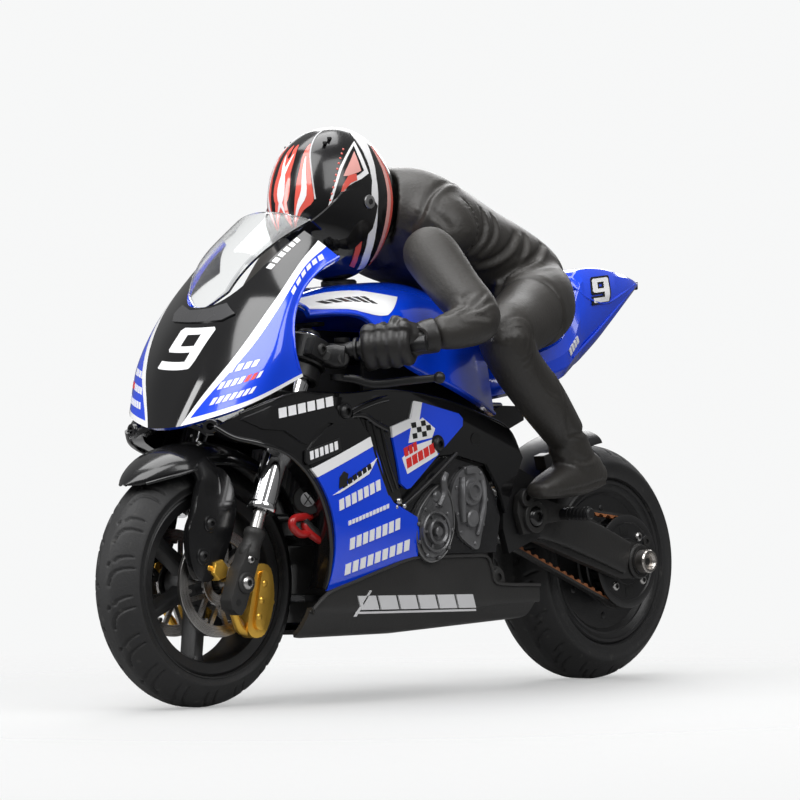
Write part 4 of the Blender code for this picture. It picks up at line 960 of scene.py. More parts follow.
def fender():
    """A mudguard with a pointed front, a rolled edge and rounded skirts beside the fork."""
    rows = []
    for step in range(45):
        share = step / 44.0
        angle = math.radians(FENDER_FROM + FENDER_ROUND * share)
        narrow = 0.12 + 0.88 * min(1.0, (share / 0.2)) ** 0.6
        narrow *= 1.0 - 0.22 * max(0.0, share - 0.85) / 0.15
        rows.append(fender_ring(angle, narrow))
    skirt = smooth_outline([(81.6, 45.6), (83.6, 41.0), (83.4, 35.4), (81.6, 30.6), (78.6, 29.0),
                            (75.4, 30.4), (72.6, 34.4), (70.0, 40.0), (68.6, 46.6), (70.4, 53.0),
                            (75.0, 55.6), (79.6, 52.4)], 4)
    parts = [skin(rows, -1.0)]
    for side in (1.0, -1.0):
        parts.append(prism(skirt, 8.9 * side, 10.9 * side, 0.6))
        bridge = limb([(Vector((78.4, 8.4 * side, 56.2)), 2.0, 2.6),
                       (Vector((76.4, 9.6 * side, 53.0)), 1.6, 3.4),
                       (Vector((76.0, 9.9 * side, 49.0)), 1.1, 3.6)], 5, 20, SIDE, 3.0)
        parts.append(bridge)
    mesh = joined(*parts)
    rim = cable([fender_ring(math.radians(FENDER_FROM + FENDER_ROUND * s),
                             0.12 + 0.88 * min(1.0, s / 0.2) ** 0.6)[24]
                 for s in (0.04, 0.1, 0.16, 0.24, 0.36, 0.5, 0.64, 0.8)], 0.42, 6, 10)
    piece("front_fender_moulded", joined(mesh, rim, mirrored(rim)), GLOSS_SOFT, "fork_slider", "front_fender",
          slot="gloss_black", sharp=40.0)
    screws = joined(*[socket_screw(Vector((x, 10.9, z)), SIDE, 1.35, 0.8) for x, z in FENDER_SCREWS])
    both_sides("fender_screws", screws, [SATIN_BLACK, BLACK_PRINT_AND_SHADE], "fork_slider")
    pads = joined(*[turned([(0.0, 10.6), (2.0, 10.6), (2.0, 11.1), (1.85, 11.25), (0.0, 11.25)],
                           Vector((x, 0.0, z)), SIDE, 28) for x, z in FENDER_SCREWS])
    both_sides("fender_pads", pads, GLOSS_SOFT, "fork_slider")


def yoke(low, high, extra):
    corners = [(low, -6.2), (high, -6.2), (high, 1.2), (high, 2.2), (low, 2.2)]
    outline = [(p.x, p.z) for p in (on_fork(a, 0.0, b) for a, b in corners)]
    plate = prism(outline, -11.6, 11.6, 0.5)
    parts = [plate]
    for side in (1.0, -1.0):
        parts.append(tube(on_fork(low - extra, FORK_SPACING * side),
                          on_fork(high + extra, FORK_SPACING * side),
                          5.0, 3.5, 48, edge=0.3))
    return joined(*parts)


def steering_parts():
    piece("lower_yoke_moulded", joined(yoke(41.4, 45.6, 0.4), rod(STEER_POINT + FORK_UP * 43.0,
                                                                  STEER_POINT + FORK_UP * 56.0, 1.6)),
          SATIN_BLACK, "steering_head", "lower_yoke", slot="black_plastic")
    piece("upper_yoke_moulded", yoke(51.0, 53.6, 0.4), SATIN_BLACK, "steering_head", "upper_yoke",
          slot="black_plastic")
    nut = joined(turned([(0.0, 54.0), (2.6, 54.0), (2.6, 56.4), (2.3, 56.7), (0.0, 56.7)], STEER_POINT,
                        FORK_UP, 6),
                 rod(STEER_POINT + FORK_UP * 56.0, STEER_POINT + FORK_UP * 57.6, 1.3))
    piece("stem_nut", nut, STEEL, "steering_head")


def clip_on():
    """The left clip-on bar: clamp ring, ear and screw, grip, lever block and its bolts."""
    y = FORK_SPACING
    clamp = turned([(3.6, 54.4), (5.5, 54.4), (5.9, 54.8), (5.9, 60.2), (5.5, 60.7), (3.6, 60.7)],
                   on_fork(0.0, y), FORK_UP, 64)
    inner_lip = turned([(3.4, 60.2), (4.3, 60.2), (4.3, 61.2), (3.4, 61.2)], on_fork(0.0, y), FORK_UP, 48)
    along = (BAR_END - BAR_START).normalized()
    grip = rod(BAR_START - along * 2.0, BAR_END, 1.9, 32)
    core = [Vector((49.2, 19.8, 81.6)), Vector((46.6, 21.4, 81.2)), Vector((44.8, 23.6, 81.0))]
    body = limb([(core[0], 2.2, 3.2), (core[1], 2.9, 3.5), (core[2], 2.7, 3.4)], 5, 24, UP, 4.0)
    collars = []
    for reach, radius in ((6.9, 2.7), (8.6, 3.1), (9.6, 2.7)):
        collars.append(rod(BAR_START + along * reach, BAR_START + along * (reach + 0.8), radius, 32))
    ear = block(on_fork(57.4, y + 5.9, 1.6), (5.4, 3.0, 4.6), -0.38)
    reservoir = turned([(0.0, 84.4), (1.7, 84.4), (1.9, 84.7), (1.9, 85.5), (0.0, 85.5)],
                       Vector((44.9, 22.6, 0.0)), UP, 28)
    return joined(clamp, inner_lip, grip, body, ear, reservoir, *collars)


def bars():
    both_sides("clip_on_bar", clip_on(), SATIN_BLACK, "steering_head", "handlebar", slot="black_plastic")
    bolts = [socket_screw(on_fork(57.4, FORK_SPACING + 7.3, 1.6), SIDE, 1.4, 0.8),
             turned([(0.0, 0.0), (1.5, 0.0), (1.5, 0.9), (1.2, 1.2), (0.0, 1.2)], Vector((46.8, 24.4, 80.4)),
                    Vector((0.55, 0.83, 0.0)), 24),
             turned([(0.0, 0.0), (1.3, 0.0), (1.3, 0.9), (1.0, 1.2), (0.0, 1.2)], Vector((49.9, 22.1, 81.2)),
                    Vector((0.75, 0.66, 0.0)), 24)]
    both_sides("bar_bolts", joined(*bolts), [MATT_BLACK, BLACK_PRINT_AND_SHADE], "steering_head")
    for name, side in LEFT_RIGHT:
        path = [(45.6, 21.6, 76.2), (43.4, 24.8, 75.8), (40.2, 28.6, 74.6), (35.4, 34.4, 75.2),
                (30.4, 40.0, 75.8)]
        sizes = [(0.95, 1.0), (1.0, 0.8), (1.0, 0.7), (0.95, 0.65), (0.85, 0.7)]
        blade = limb([(at_side(p, side), a, b) for p, (a, b) in zip(path, sizes)], 8, 20, UP, 3.0)
        tip = Vector(path[-1])
        ball = turned([(1.45 * math.sin(math.pi * k / 12.0), -1.45 * math.cos(math.pi * k / 12.0))
                       for k in range(13)], at_side(tip, side), SIDE, 24)
        boss = turned([(0.0, 75.7), (1.7, 75.7), (1.85, 75.9), (1.85, 77.0), (0.0, 77.0)],
                      at_side((45.6, 21.6, 0.0), side), UP, 32)
        piece("hand_lever_" + name + "_moulded", joined(blade, ball, boss), SATIN_BLACK, "lever_" + name,
              "hand_lever_" + name, slot="black_plastic")


fork_tubes()
fork_legs()
fender()
steering_parts()
bars()


# ---- nose, screen and race number --------------------------------------
NOSE_ROWS = (
    ((81.6, 0.0, 64.6), (80.2, 8.0, 65.4), (73.4, 20.4, 69.4), (60.0, 24.6, 76.0)),
    ((76.6, 0.0, 77.0), (75.4, 10.0, 78.0), (69.0, 22.4, 80.4), (62.0, 24.2, 82.6)),
    ((70.6, 0.0, 90.6), (69.0, 9.6, 91.0), (63.4, 20.8, 91.6), (59.6, 22.2, 91.8)),
    ((61.0, 0.0, 103.4), (59.4, 9.0, 103.4), (55.4, 18.4, 102.0), (52.4, 20.6, 99.6)),
    ((50.2, 0.0, 115.6), (49.4, 8.6, 114.2), (47.6, 16.4, 109.6), (44.0, 21.4, 104.6)),
)


def mirror_row(points):
    right = [Vector((x, -y, z)) for x, y, z in reversed(points)]
    left = [Vector(p) for p in points[1:]]
    return right + left


def curve_at(points, place):
    """One point of the Catmull-Rom curve through evenly numbered points."""
    last = len(points) - 1
    at = min(max(int(math.floor(place)), 0), last - 1)
    t = place - at
    b, c = points[at], points[at + 1]
    a = points[at - 1] if at > 0 else b * 2.0 - c
    d = points[at + 2] if at + 2 <= last else c * 2.0 - b
    return (b * 2.0 + (c - a) * t + (a * 2.0 - b * 5.0 + c * 4.0 - d) * t ** 2
            + (b * 3.0 - a - c * 3.0 + d) * t ** 3) * 0.5


def sheet_at(control, across, up, height=0.0):
    """A point on a smooth sheet of control rows, lifted along the sheet's normal."""
    middle = (len(control[0]) - 1) / 2.0
    column = across + middle
    point = curve_at([curve_at(row, column) for row in control], up)
    if height == 0.0:
        return point
    step = 0.02
    side = curve_at([curve_at(row, column + step) for row in control], up) - point
    rise = curve_at([curve_at(row, column) for row in control], up + step) - point
    return point + side.cross(rise).normalized() * height


NOSE = [mirror_row(row) for row in NOSE_ROWS]
NOSE_TOP = len(NOSE_ROWS) - 1.0


def nose_at(across, up, height=0.0):
    return sheet_at(NOSE, across, up, height)


def stripe_inner(up):
    """Where the black centre of the nose ends, in columns from the middle."""
    return 0.74 + 0.62 * up - 0.066 * up ** 2


def stripe_outer(up):
    return stripe_inner(up) + 0.13 + 0.045 * up


def nose_shell():
    steps = 72
    rows = []
    bands = ((14, 0), (3, 1), (30, 2), (3, 1), (14, 0))
    for i in range(steps + 1):
        up = NOSE_TOP * (i / steps)
        if 0 < i < 4:
            up = 0.11 * i / 4.0
        elif i >= 4:
            up = 0.11 + (NOSE_TOP - 0.11) * (i - 4) / (steps - 4)
        edges = [-3.0, -stripe_outer(up), -stripe_inner(up), stripe_inner(up), stripe_outer(up), 3.0]
        line = []
        for (count, _), low, high in zip(bands, edges, edges[1:]):
            line += [nose_at(low + (high - low) * k / count, up) for k in range(count)]
        line.append(nose_at(3.0, up))
        rows.append(line)
    finish_of = [finish for count, finish in bands for _ in range(count)]

    def finish(row, column):
        if row < 4 and finish_of[column] == 0:
            return 1
        return finish_of[column]

    shell = skin(rows, -1.1, finish, 3)
    window = loft([smooth_outline_3d(screen_opening(), 30.0), smooth_outline_3d(screen_opening(), 92.0)])
    return combine(shell, [window], "DIFFERENCE")


def screen_opening():
    """The cut-out for the screen seen from the front, as (y, z) points from a U to an open top."""
    left = [(15.4, 122.0), (14.2, 112.0), (12.6, 106.4), (10.6, 100.6), (8.4, 96.6), (5.2, 94.0), (2.0, 93.1)]
    return left + [(-y, z) for y, z in reversed(left)]


def smooth_outline_3d(points, x):
    return [Vector((x, y, z)) for y, z in smooth_outline(points, 3)]


def screen_at(across, up):
    """The clear bubble: across runs -1..1, up 0..1 from its rounded foot."""
    half = (5.6 + 8.0 * up) * min(1.0, ((up + 0.004) / 0.16) ** 0.5)
    y = half * across
    x = 69.0 - 19.4 * up + 3.4 * math.sin(math.pi * up) - 0.022 * y * y
    z = 92.9 + 23.8 * up - 0.014 * y * y * up
    return Vector((x, y, z))


def screen():
    """The blown screen, with a greyer strip along each side: painted shade where the thick edge looks darker.
    """
    rows = []
    for i in range(41):
        up = (i / 40.0) ** 1.3
        rows.append([screen_at(-1.0 + 2.0 * j / 40.0, up) for j in range(41)])
    mesh = skin(rows, -0.8, lambda i, j: 1 if j < 3 or j > 36 else 0)
    piece("windscreen_blown", mesh, [SCREEN, SCREEN_EDGE_SHADE], "chassis", "windscreen", sharp=60.0, slot="clear")


NINE = (
    ((0.0, 0.03), (0.04, 0.0), (0.94, 0.0), (0.97, 0.03), (1.0, 0.2), (0.0, 0.2)),
    ((0.7, 0.2), (1.0, 0.2), (1.0, 0.93), (0.93, 1.0), (0.7, 1.0)),
    ((0.3, 0.84), (0.7, 0.84), (0.7, 1.0), (0.3, 1.0)),
    ((0.0, 0.48), (0.06, 0.42), (0.3, 0.42), (0.3, 1.0), (0.08, 1.0), (0.0, 0.93)),
    ((0.3, 0.42), (0.7, 0.42), (0.7, 0.57), (0.3, 0.57)),
)


def number_nine(place, under, over, grow=0.0):
    """A block figure nine; grow pushes its outline outward for a border."""
    parts = []
    for outline in NINE:
        middle = Vector((sum(p[0] for p in outline), sum(p[1] for p in outline))) / len(outline)
        wider = []
        for s, t in outline:
            away = Vector((s, t)) - middle
            wider.append((s + math.copysign(grow, away.x), t + math.copysign(grow * 0.8, away.y)))
        parts.append(sticker(wider, place, 0.12, under, over))
    return joined(*parts)


def lettering(start, end, height, count, lean=0.25, gap=0.3):
    """A row of plain slanted blocks standing in for print: outlines in the plane of start and end."""
    start, end = Vector(start), Vector(end)
    along = (end - start) / count
    up = Vector((-along.y, along.x)).normalized() * height
    if up.y < 0.0:
        up = -up
    blocks = []
    for k in range(count):
        a = start + along * (k + gap * 0.5)
        b = start + along * (k + 1.0 - gap * 0.5)
        slant = along.normalized() * height * lean
        blocks.append([tuple(a), tuple(b), tuple(b + up + slant), tuple(a + up + slant)])
    return blocks


def printed(outlines, place, cell=0.2, over=0.06, under=-0.15):
    """Several flat outlines laid on a surface as one mesh."""
    return joined(*[sticker(outline, place, cell, under, over) for outline in outlines])


def nose():
    piece("nose_cowl_painted", nose_shell(), [BLUE, WHITE, GLOSS, SATIN_BLACK], "chassis", "nose_cowl",
          sharp=30.0, slot="blue_paint")
    screen()

    def nine_place(s, t, height):
        return nose_at(-0.82 + 1.2 * s + 0.5 * t - 0.04 * s * t, 1.09 + 0.74 * t - 0.05 * s * t, height)

    piece("nose_number", number_nine(nine_place, -0.15, 0.07), WHITE, "chassis")

    def lip_place(s, t, height):
        return nose_at(s, t, height + 0.35)

    lip = sticker([(-0.86, 1.93), (0.9, 1.88), (1.15, 1.98), (0.84, 2.2), (0.4, 2.13), (-0.3, 2.13),
                   (-0.78, 2.24), (-0.98, 2.08)], lip_place, 0.12, -0.5, 0.1)
    piece("screen_lip", lip, DARK_GREY_GLOSS, "chassis")
    for side, name in ((1.0, "left"), (-1.0, "right")):
        def place(s, t, height, side=side):
            return nose_at(s * side, t, height)

        white = lettering((1.32, 0.84), (1.83, 0.86), 0.13, 4)
        second = lettering((1.27, 0.55), (2.0, 0.58), 0.13, 7)
        white += second[:4] + second[6:]
        red = second[4:6]
        white += lettering((1.24, 0.27), (1.98, 0.26), 0.13, 7)
        white += lettering((2.36, 2.3), (2.72, 3.7), 0.2, 6, lean=0.1)
        piece("nose_print_" + name, printed(white, place, 0.25), WHITE, "chassis")
        piece("nose_print_red_" + name, printed(red, place, 0.25), RED, "chassis")
        dark = lettering((1.72, 3.75), (1.42, 2.85), 0.13, 6, lean=0.1)
        piece("nose_print_upper_" + name, printed(dark, place, 0.25), WHITE, "chassis")
        seam = cable([nose_at(2.97 * side, up, 0.1) for up in (0.3, 1.0, 1.8, 2.6, 3.4, 4.0)], 0.28, 6, 8)
        piece("nose_edge_" + name, seam, BLUE, "chassis")
    duct()


def duct():
    """The dark underside of the nose with two hollow corner ducts."""
    rows = []
    for i in range(13):
        share = i / 12.0
        x = 79.4 - 12.4 * share
        z = 64.4 + 4.3 * share
        half = 15.2 - max(0.0, x - 66.0) * 0.2
        drop = 1.0 + 1.2 * math.sin(math.pi * share)
        line = []
        for j in range(25):
            s = -1.0 + j / 12.0
            line.append(Vector((x, half * s, z + 1.7 - (1.7 + drop) * abs(s) ** 2.6)))
        rows.append(line)
    parts = [skin(rows, -1.0)]
    for side in (1.0, -1.0):
        mouth = turned([(1.0, -1.4), (1.9, -1.4), (2.1, -1.0), (2.1, 1.6), (1.9, 1.9), (1.0, 1.9)],
                       Vector((77.4, 13.0 * side, 64.6)), Vector((0.96, 0.28 * side, 0.0)), 32)
        bmesh.ops.scale(mouth, vec=(1.0, 1.0, 0.8),
                        space=Matrix.Translation(Vector((-77.4, -13.0 * side, -64.6))),
                        verts=mouth.verts)
        parts.append(mouth)
    piece("nose_duct_moulded", joined(*parts), GLOSS_SOFT, "chassis", "nose_duct", slot="gloss_black")


nose()


# ---- side fairings ------------------------------------------------------
def fairing_y(x, z):
    nose_share = max(0.0, x - 44.0) / 36.0
    tip_share = max(0.0, x - 67.0) / 12.0
    return 24.0 - 2.2 * ((z - 52.0) / 22.0) ** 2 - 3.2 * nose_share ** 1.6 - 5.0 * tip_share ** 1.6


def on_fairing(lift):
    """Places (x, z) on the left fairing, raised by lift."""
    def place(x, z, height):
        return Vector((x, fairing_y(x, z) + lift + height, z))
    return place


def arc_between(a, b, bulge, count=6):
    """Points from a towards b along a shallow arc; bulge is its height."""
    a, b = Vector(a), Vector(b)
    side = Vector((a.y - b.y, b.x - a.x)).normalized()
    made = []
    for k in range(count):
        t = k / count
        made.append(tuple(a.lerp(b, t) + side * (bulge * 4.0 * t * (1.0 - t))))
    return made


ARCH = [(79.0, 64.4), (75.7, 62.0), (70.6, 60.6), (64.0, 58.6), (58.6, 54.9), (54.2, 49.6), (51.2, 43.4),
        (49.6, 37.0), (49.4, 31.0), (50.0, 26.9)]
FAIRING_REAR = [(36.0, 30.6), (21.4, 34.2), (20.4, 34.4), (31.5, 44.0), (28.0, 52.0), (21.0, 57.5),
                (8.0, 58.5), (-4.0, 56.0), (-8.5, 50.0), (-11.0, 44.0), (-13.4, 50.0), (-17.6, 57.6)]
FAIRING_TOP = [(-13.4, 64.8), (-4.0, 68.2), (7.0, 71.2), (20.0, 73.2), (30.0, 73.5), (40.0, 72.6),
               (46.0, 72.3), (58.0, 72.3), (66.0, 70.4), (74.0, 67.4)]
FAIRING_SCREWS = ((45.0, 68.2), (14.1, 60.8))


def side_fairings():
    """Shell with rolled edges, painted panels, vent gill with ribs, plain print blocks and screws."""
    outline = ARCH + [(36.0, 30.8), (31.0, 32.2)] + FAIRING_REAR[3:] + FAIRING_TOP
    shell = sticker(outline, on_fairing(0.0), 2.4, -1.2, 0.0)
    arch_roll = cable([(x, fairing_y(x, z) - 0.25, z) for x, z in ARCH], 0.62, 5, 10)
    top_roll = cable([(x, fairing_y(x, z) - 0.5, z) for x, z in [(-17.6, 57.6)] + FAIRING_TOP], 0.5, 5, 10)
    inner_arch = [[Vector((x + 0.2, fairing_y(x, z) - d, z + 0.1)) for x, z in
                   [p[:2] for p in curve_points([(a, b, 0.0) for a, b in ARCH], 3)]] for d in (0.4, 5.4)]
    flange = skin(inner_arch, 0.9)
    both_sides("side_fairing_shell", joined(shell, arch_roll, top_roll, flange), GLOSS, "chassis",
               "side_fairing", slot="gloss_black", sharp=40.0)

    upper = ([(74.6, 66.2), (70.0, 63.9), (64.2, 63.6), (60.0, 61.2)] +
             arc_between((57.6, 60.2), (50.6, 65.6), -1.0) + arc_between((50.6, 65.6), (41.6, 67.4), 1.0) +
             [(34.6, 69.6), (30.4, 71.4), (30.0, 72.6), (40.0, 71.8), (46.0, 71.6), (58.0, 71.6),
              (66.0, 69.7)])
    lower_black = [(52.8, 53.9), (56.8, 55.2), (58.2, 58.4), (55.8, 60.9), (51.6, 64.2), (47.2, 66.2),
                   (42.8, 67.0), (39.8, 65.6), (37.2, 62.6), (46.0, 58.6)]
    panels = [sticker(upper, on_fairing(0.5), 2.4, -0.6, 0.1)]
    panels.append(sticker(lower_black, on_fairing(0.35), 2.4, -0.5, 0.1))
    both_sides("fairing_panel_black", joined(*panels), GLOSS, "chassis", bevel=0.18)

    white = [(57.1, 54.7), (37.3, 62.4), (36.3, 60.3), (55.2, 52.8)]
    angle_stripe = [(29.7, 64.9), (22.6, 67.0), (20.5, 71.2), (18.0, 70.9), (20.1, 65.8), (29.7, 62.3)]
    both_sides("fairing_white", printed([white, angle_stripe], on_fairing(0.5), 2.4, 0.12, -0.6), WHITE,
               "chassis")

    blue = ([(55.2, 52.8), (36.3, 60.3), (34.5, 56.6), (33.0, 51.5), (31.6, 48.6), (30.0, 46.8), (21.6, 43.3),
             (20.6, 39.5), (20.5, 33.9), (33.7, 30.0), (49.8, 26.4)] +
            arc_between((49.0, 30.0), (55.2, 52.8), 2.6, 8))
    triangle = [(29.7, 62.3), (20.1, 65.8), (18.0, 70.9), (5.2, 68.4), (4.0, 67.2), (4.4, 65.4), (12.4, 59.6),
                (24.2, 50.3), (25.4, 50.0), (27.6, 51.3)]
    both_sides("fairing_blue", joined(sticker(blue, on_fairing(0.45), 2.4, -0.7, 0.1),
                                      sticker(triangle, on_fairing(0.5), 2.4, -0.7, 0.1)), BLUE, "chassis",
               bevel=0.15)

    # The near-black gill sheet under the ribs is painted shade in the vent.
    gill = [(39.8, 67.0), (37.0, 62.0), (34.1, 56.4), (32.6, 50.4), (30.6, 47.2), (26.8, 47.6), (28.1, 51.5),
            (30.2, 62.0), (31.6, 64.0)]
    both_sides("fairing_gill", printed([gill], on_fairing(-0.5), 2.4, 0.6, -0.6), BLACK_PRINT_AND_SHADE, "chassis")
    ribs = []
    for low, high, radius in (((37.9, 66.2), (31.6, 48.6), 0.55), ((35.9, 66.6), (29.9, 49.4), 0.45),
                              ((33.2, 66.4), (28.4, 50.2), 0.5)):
        a, b = Vector(low), Vector(high)
        path = [a.lerp(b, t) for t in (0.0, 0.25, 0.5, 0.75, 1.0)]
        ribs.append(cable([(p.x + 0.9 * math.sin(math.pi * k / 4.0), fairing_y(p.x, p.y) + 0.15, p.y)
                           for k, p in enumerate(path)], radius, 5, 10))
    ribs.append(cable([(x, fairing_y(x, z) + 0.5, z) for x, z in ((43.2, 68.0), (39.6, 69.3), (34.0, 70.9),
                                                                  (30.2, 71.6))], 0.85, 5, 12))
    ribs.append(cable([(x, fairing_y(x, z) + 0.3, z) for x, z in ((43.0, 67.4), (38.6, 67.4), (34.4, 65.4),
                                                                  (31.0, 64.2))], 0.75, 5, 12))
    both_sides("fairing_ribs", joined(*ribs), GLOSS_SOFT, "chassis", sharp=60.0)

    bits = []
    for x, z, size in ((27.8, 47.2, 0.9), (26.0, 46.0, 0.7), (28.8, 45.8, 0.6)):
        bits.append(dome(Vector((x, fairing_y(x, z) + 0.1, z)), SIDE, size, 0.7, 16))
    both_sides("fairing_clips", joined(*bits), STEEL, "chassis")

    def marked(name, outlines, finish, lift):
        both_sides("fairing_" + name, printed(outlines, on_fairing(lift), 2.4, 0.08, -0.3), finish, "chassis")

    bar_plate = [(58.6, 58.9), (47.8, 62.0), (47.3, 59.0), (48.0, 58.6), (58.0, 55.6), (58.8, 56.4)]
    both_sides("fairing_plate", printed([bar_plate], on_fairing(0.6), 2.4, 0.12, -0.4), SATIN_BLACK,
               "chassis")
    print_white = lettering((57.6, 56.7), (48.3, 59.4), 1.9, 6)
    print_white += lettering((66.0, 66.3), (48.4, 69.6), 2.2, 6, gap=0.22)
    print_white += lettering((48.6, 44.9), (34.4, 50.0), 2.4, 7)
    print_white += lettering((45.4, 41.5), (31.6, 45.6), 1.0, 12)
    print_white += lettering((44.6, 35.7), (27.4, 40.6), 2.6, 8)
    print_white += lettering((45.4, 29.8), (23.6, 35.6), 2.5, 9)
    marked("print", print_white, WHITE, 0.66)
    flag = [[(50.6, 48.6), (47.0, 50.4), (35.6, 57.4), (38.6, 53.6), (48.4, 49.2)]]
    marked("flash", flag, WHITE, 0.66)
    flag_dark = lettering((47.4, 50.2), (37.6, 55.0), 1.2, 6, gap=0.25) + [
        [(48.6, 50.2), (46.4, 51.0), (45.6, 53.6), (47.0, 54.2), (48.4, 52.8)]]
    marked("flash_print", flag_dark, BLACK_PRINT_AND_SHADE, 0.72)
    border = [[(27.0, 57.4), (25.4, 53.6), (14.4, 58.2), (15.0, 62.2), (22.6, 60.4)],
              [(24.4, 61.0), (16.0, 62.4), (14.6, 64.6), (18.6, 67.2), (23.0, 65.0)]]
    marked("badge_white", border, WHITE, 0.66)
    badge = lettering((25.6, 54.8), (15.2, 59.0), 2.2, 5, gap=0.16)
    badge += lettering((26.2, 57.6), (21.4, 59.4), 2.0, 3, gap=0.2)
    marked("badge_red", badge, RED, 0.72)
    check = []
    for i in range(4):
        for j in range(3):
            if (i + j) % 2 == 0:
                x, z = 22.8 - 1.7 * i, 62.0 + 1.3 * j + 0.25 * i
                check.append([(x, z), (x - 1.6, z + 0.25), (x - 1.5, z + 1.5), (x + 0.1, z + 1.25)])
    marked("badge_check", check, BLACK_PRINT_AND_SHADE, 0.72)

    screws = [socket_screw(Vector((x, fairing_y(x, z) + 0.6, z)), SIDE, 1.7, 1.1) for x, z in FAIRING_SCREWS]
    both_sides("fairing_screws", joined(*screws), [SATIN_BLACK, BLACK_PRINT_AND_SHADE], "chassis")
    cups = [turned([(1.75, 0.2), (2.3, 0.2), (2.3, 0.75), (1.75, 0.75)], Vector((x, fairing_y(x, z), z)),
                   SIDE, 32)
            for x, z in FAIRING_SCREWS]
    both_sides("fairing_cups", joined(*cups), GLOSS_SOFT, "chassis")
    # A near-black disc for the hole in the fairing: painted shade.
    hole = disc(1.7, 0.0, 0.12, Vector((-0.5, fairing_y(-0.5, 62.1), 62.1)), SIDE, 28)
    strut = cable([(25.8, 23.9, 46.2), (19.0, 24.3, 50.6), (12.4, 24.3, 55.0), (7.1, 24.1, 58.6)], 0.55, 5,
                  12)
    both_sides("fairing_hole", hole, BLACK_PRINT_AND_SHADE, "chassis")
    both_sides("fairing_strut", strut, SATIN_BLACK, "chassis")


def engine_covers():
    """Moulded dummy engine: a clutch cover with ribs, a second cover, bolts and a relief edge."""
    def flat_place(x, z, height):
        return Vector((x, 22.4 + height, z))

    base_outline = [(30.4, 34.4), (30.9, 43.8), (27.4, 51.6), (20.6, 56.9), (8.0, 57.9), (-3.7, 55.4),
                    (-8.0, 49.6), (-10.4, 43.0), (-8.6, 34.4)]
    base = sticker(base_outline, flat_place, 3.0, -1.2, 0.0)
    both_sides("engine_backing", base, ENGINE_DARK, "chassis", "engine_cover", slot="grey_cover")

    rim_outline = smooth_outline([(21.3, 42.8), (20.9, 36.0), (18.6, 33.2), (15.4, 32.6), (11.0, 34.8),
                                  (8.2, 40.4), (8.6, 46.6), (11.0, 50.8), (14.0, 50.6), (18.4, 47.2)], 4)
    inner_outline = [(x + (15.0 - x) * 0.13, z + (41.0 - z) * 0.12) for x, z in rim_outline]
    plate = prism(rim_outline, 22.2, 23.6, 0.3)
    raised = prism(inner_outline, 23.4, 24.2, 0.3)
    centre = Vector((15.4, 0.0, 39.8))
    dish = turned([(0.0, 23.6), (1.1, 23.6), (1.2, 25.6), (0.9, 25.9), (0.0, 25.9)], centre, SIDE, 40)
    rings = [dish,
             turned([(2.3, 23.8), (3.3, 23.8), (3.2, 25.5), (2.9, 25.8), (2.4, 25.4)], centre, SIDE, 48),
             turned([(4.3, 23.8), (5.1, 23.8), (5.0, 24.9), (4.7, 25.1), (4.4, 24.9)], centre, SIDE, 56)]
    bolts = []
    for k in range(9):
        angle = 2.0 * math.pi * k / 9.0 + 0.3
        bolt = centre + Vector((6.0 * math.cos(angle), 24.1, 6.4 * math.sin(angle)))
        bolts.append(dome(bolt, SIDE, 0.62, 0.55, 6))
    spokes = []
    for k in range(5):
        angle = 2.0 * math.pi * k / 5.0
        way = outward(angle)
        spokes.append(limb([(centre + way * 2.8 + SIDE * 24.5, 0.4, 0.45),
                            (centre + way * 4.6 + SIDE * 24.3, 0.4, 0.4)], 3, 10))
    arm = cable([(14.2, 24.6, 46.0), (12.6, 24.8, 49.0), (12.8, 24.8, 52.0), (11.6, 24.4, 53.6)], 0.9, 5, 12)
    knob = dome(Vector((14.6, 24.2, 48.2)), SIDE, 1.5, 0.7, 24)
    both_sides("clutch_cover", joined(plate, raised, *rings, *bolts, *spokes, arm, knob), ENGINE_SHEEN_GREY,
               "chassis", sharp=32.0)

    second = smooth_outline([(8.6, 47.4), (7.4, 51.6), (4.4, 54.6), (0.6, 55.8), (-3.0, 54.2), (-4.6, 50.0),
                             (-4.2, 44.0), (-2.4, 38.6), (-1.2, 35.4), (1.4, 36.0), (5.6, 38.8),
                             (6.6, 43.0)], 4)
    face = prism(second, 22.2, 23.4, 0.3)
    lumps = [
        turned([(0.0, 23.2), (3.4, 23.2), (3.4, 24.2), (3.0, 24.6), (0.0, 24.6)], Vector((1.6, 0.0, 49.4)),
               SIDE, 40),
        turned([(1.4, 24.4), (2.4, 24.4), (2.2, 25.3), (1.6, 25.3)], Vector((1.6, 0.0, 49.4)), SIDE, 36),
        turned([(0.0, 23.2), (2.2, 23.2), (2.1, 24.4), (1.7, 24.7), (0.0, 24.7)], Vector((1.8, 0.0, 42.8)),
               SIDE, 32),
        limb([(Vector((4.8, 23.8, 52.8)), 0.9, 0.8), (Vector((5.4, 24.1, 48.0)), 1.1, 0.8),
              (Vector((4.8, 23.8, 42.0)), 0.9, 0.7)], 5, 14),
        limb([(Vector((-2.4, 23.7, 52.2)), 0.8, 0.7), (Vector((-2.6, 23.9, 46.6)), 0.9, 0.8),
              (Vector((-0.6, 23.7, 38.8)), 0.7, 0.7)], 5, 14),
        block(Vector((1.6, 23.7, 54.6)), (4.0, 1.2, 1.6), 0.1),
    ]
    for x, z in ((6.8, 50.4), (3.4, 55.0), (-2.2, 54.0), (-4.2, 47.4), (-2.8, 41.4), (0.2, 36.8), (5.2, 39.6),
                 (6.4, 44.0)):
        lumps.append(dome(Vector((x, 23.3, z)), SIDE, 0.6, 0.6, 6))
    both_sides("generator_cover", joined(face, *lumps), ENGINE_SHEEN_GREY, "chassis", sharp=32.0)
    # A lighter grey bead along the cover rim: painted highlight on its edge.
    trim = cable([(x, 23.7, z) for x, z in rim_outline[::2] + rim_outline[:1]], 0.22, 2, 8)
    both_sides("cover_edges", trim, STEEL_DARK, "chassis")


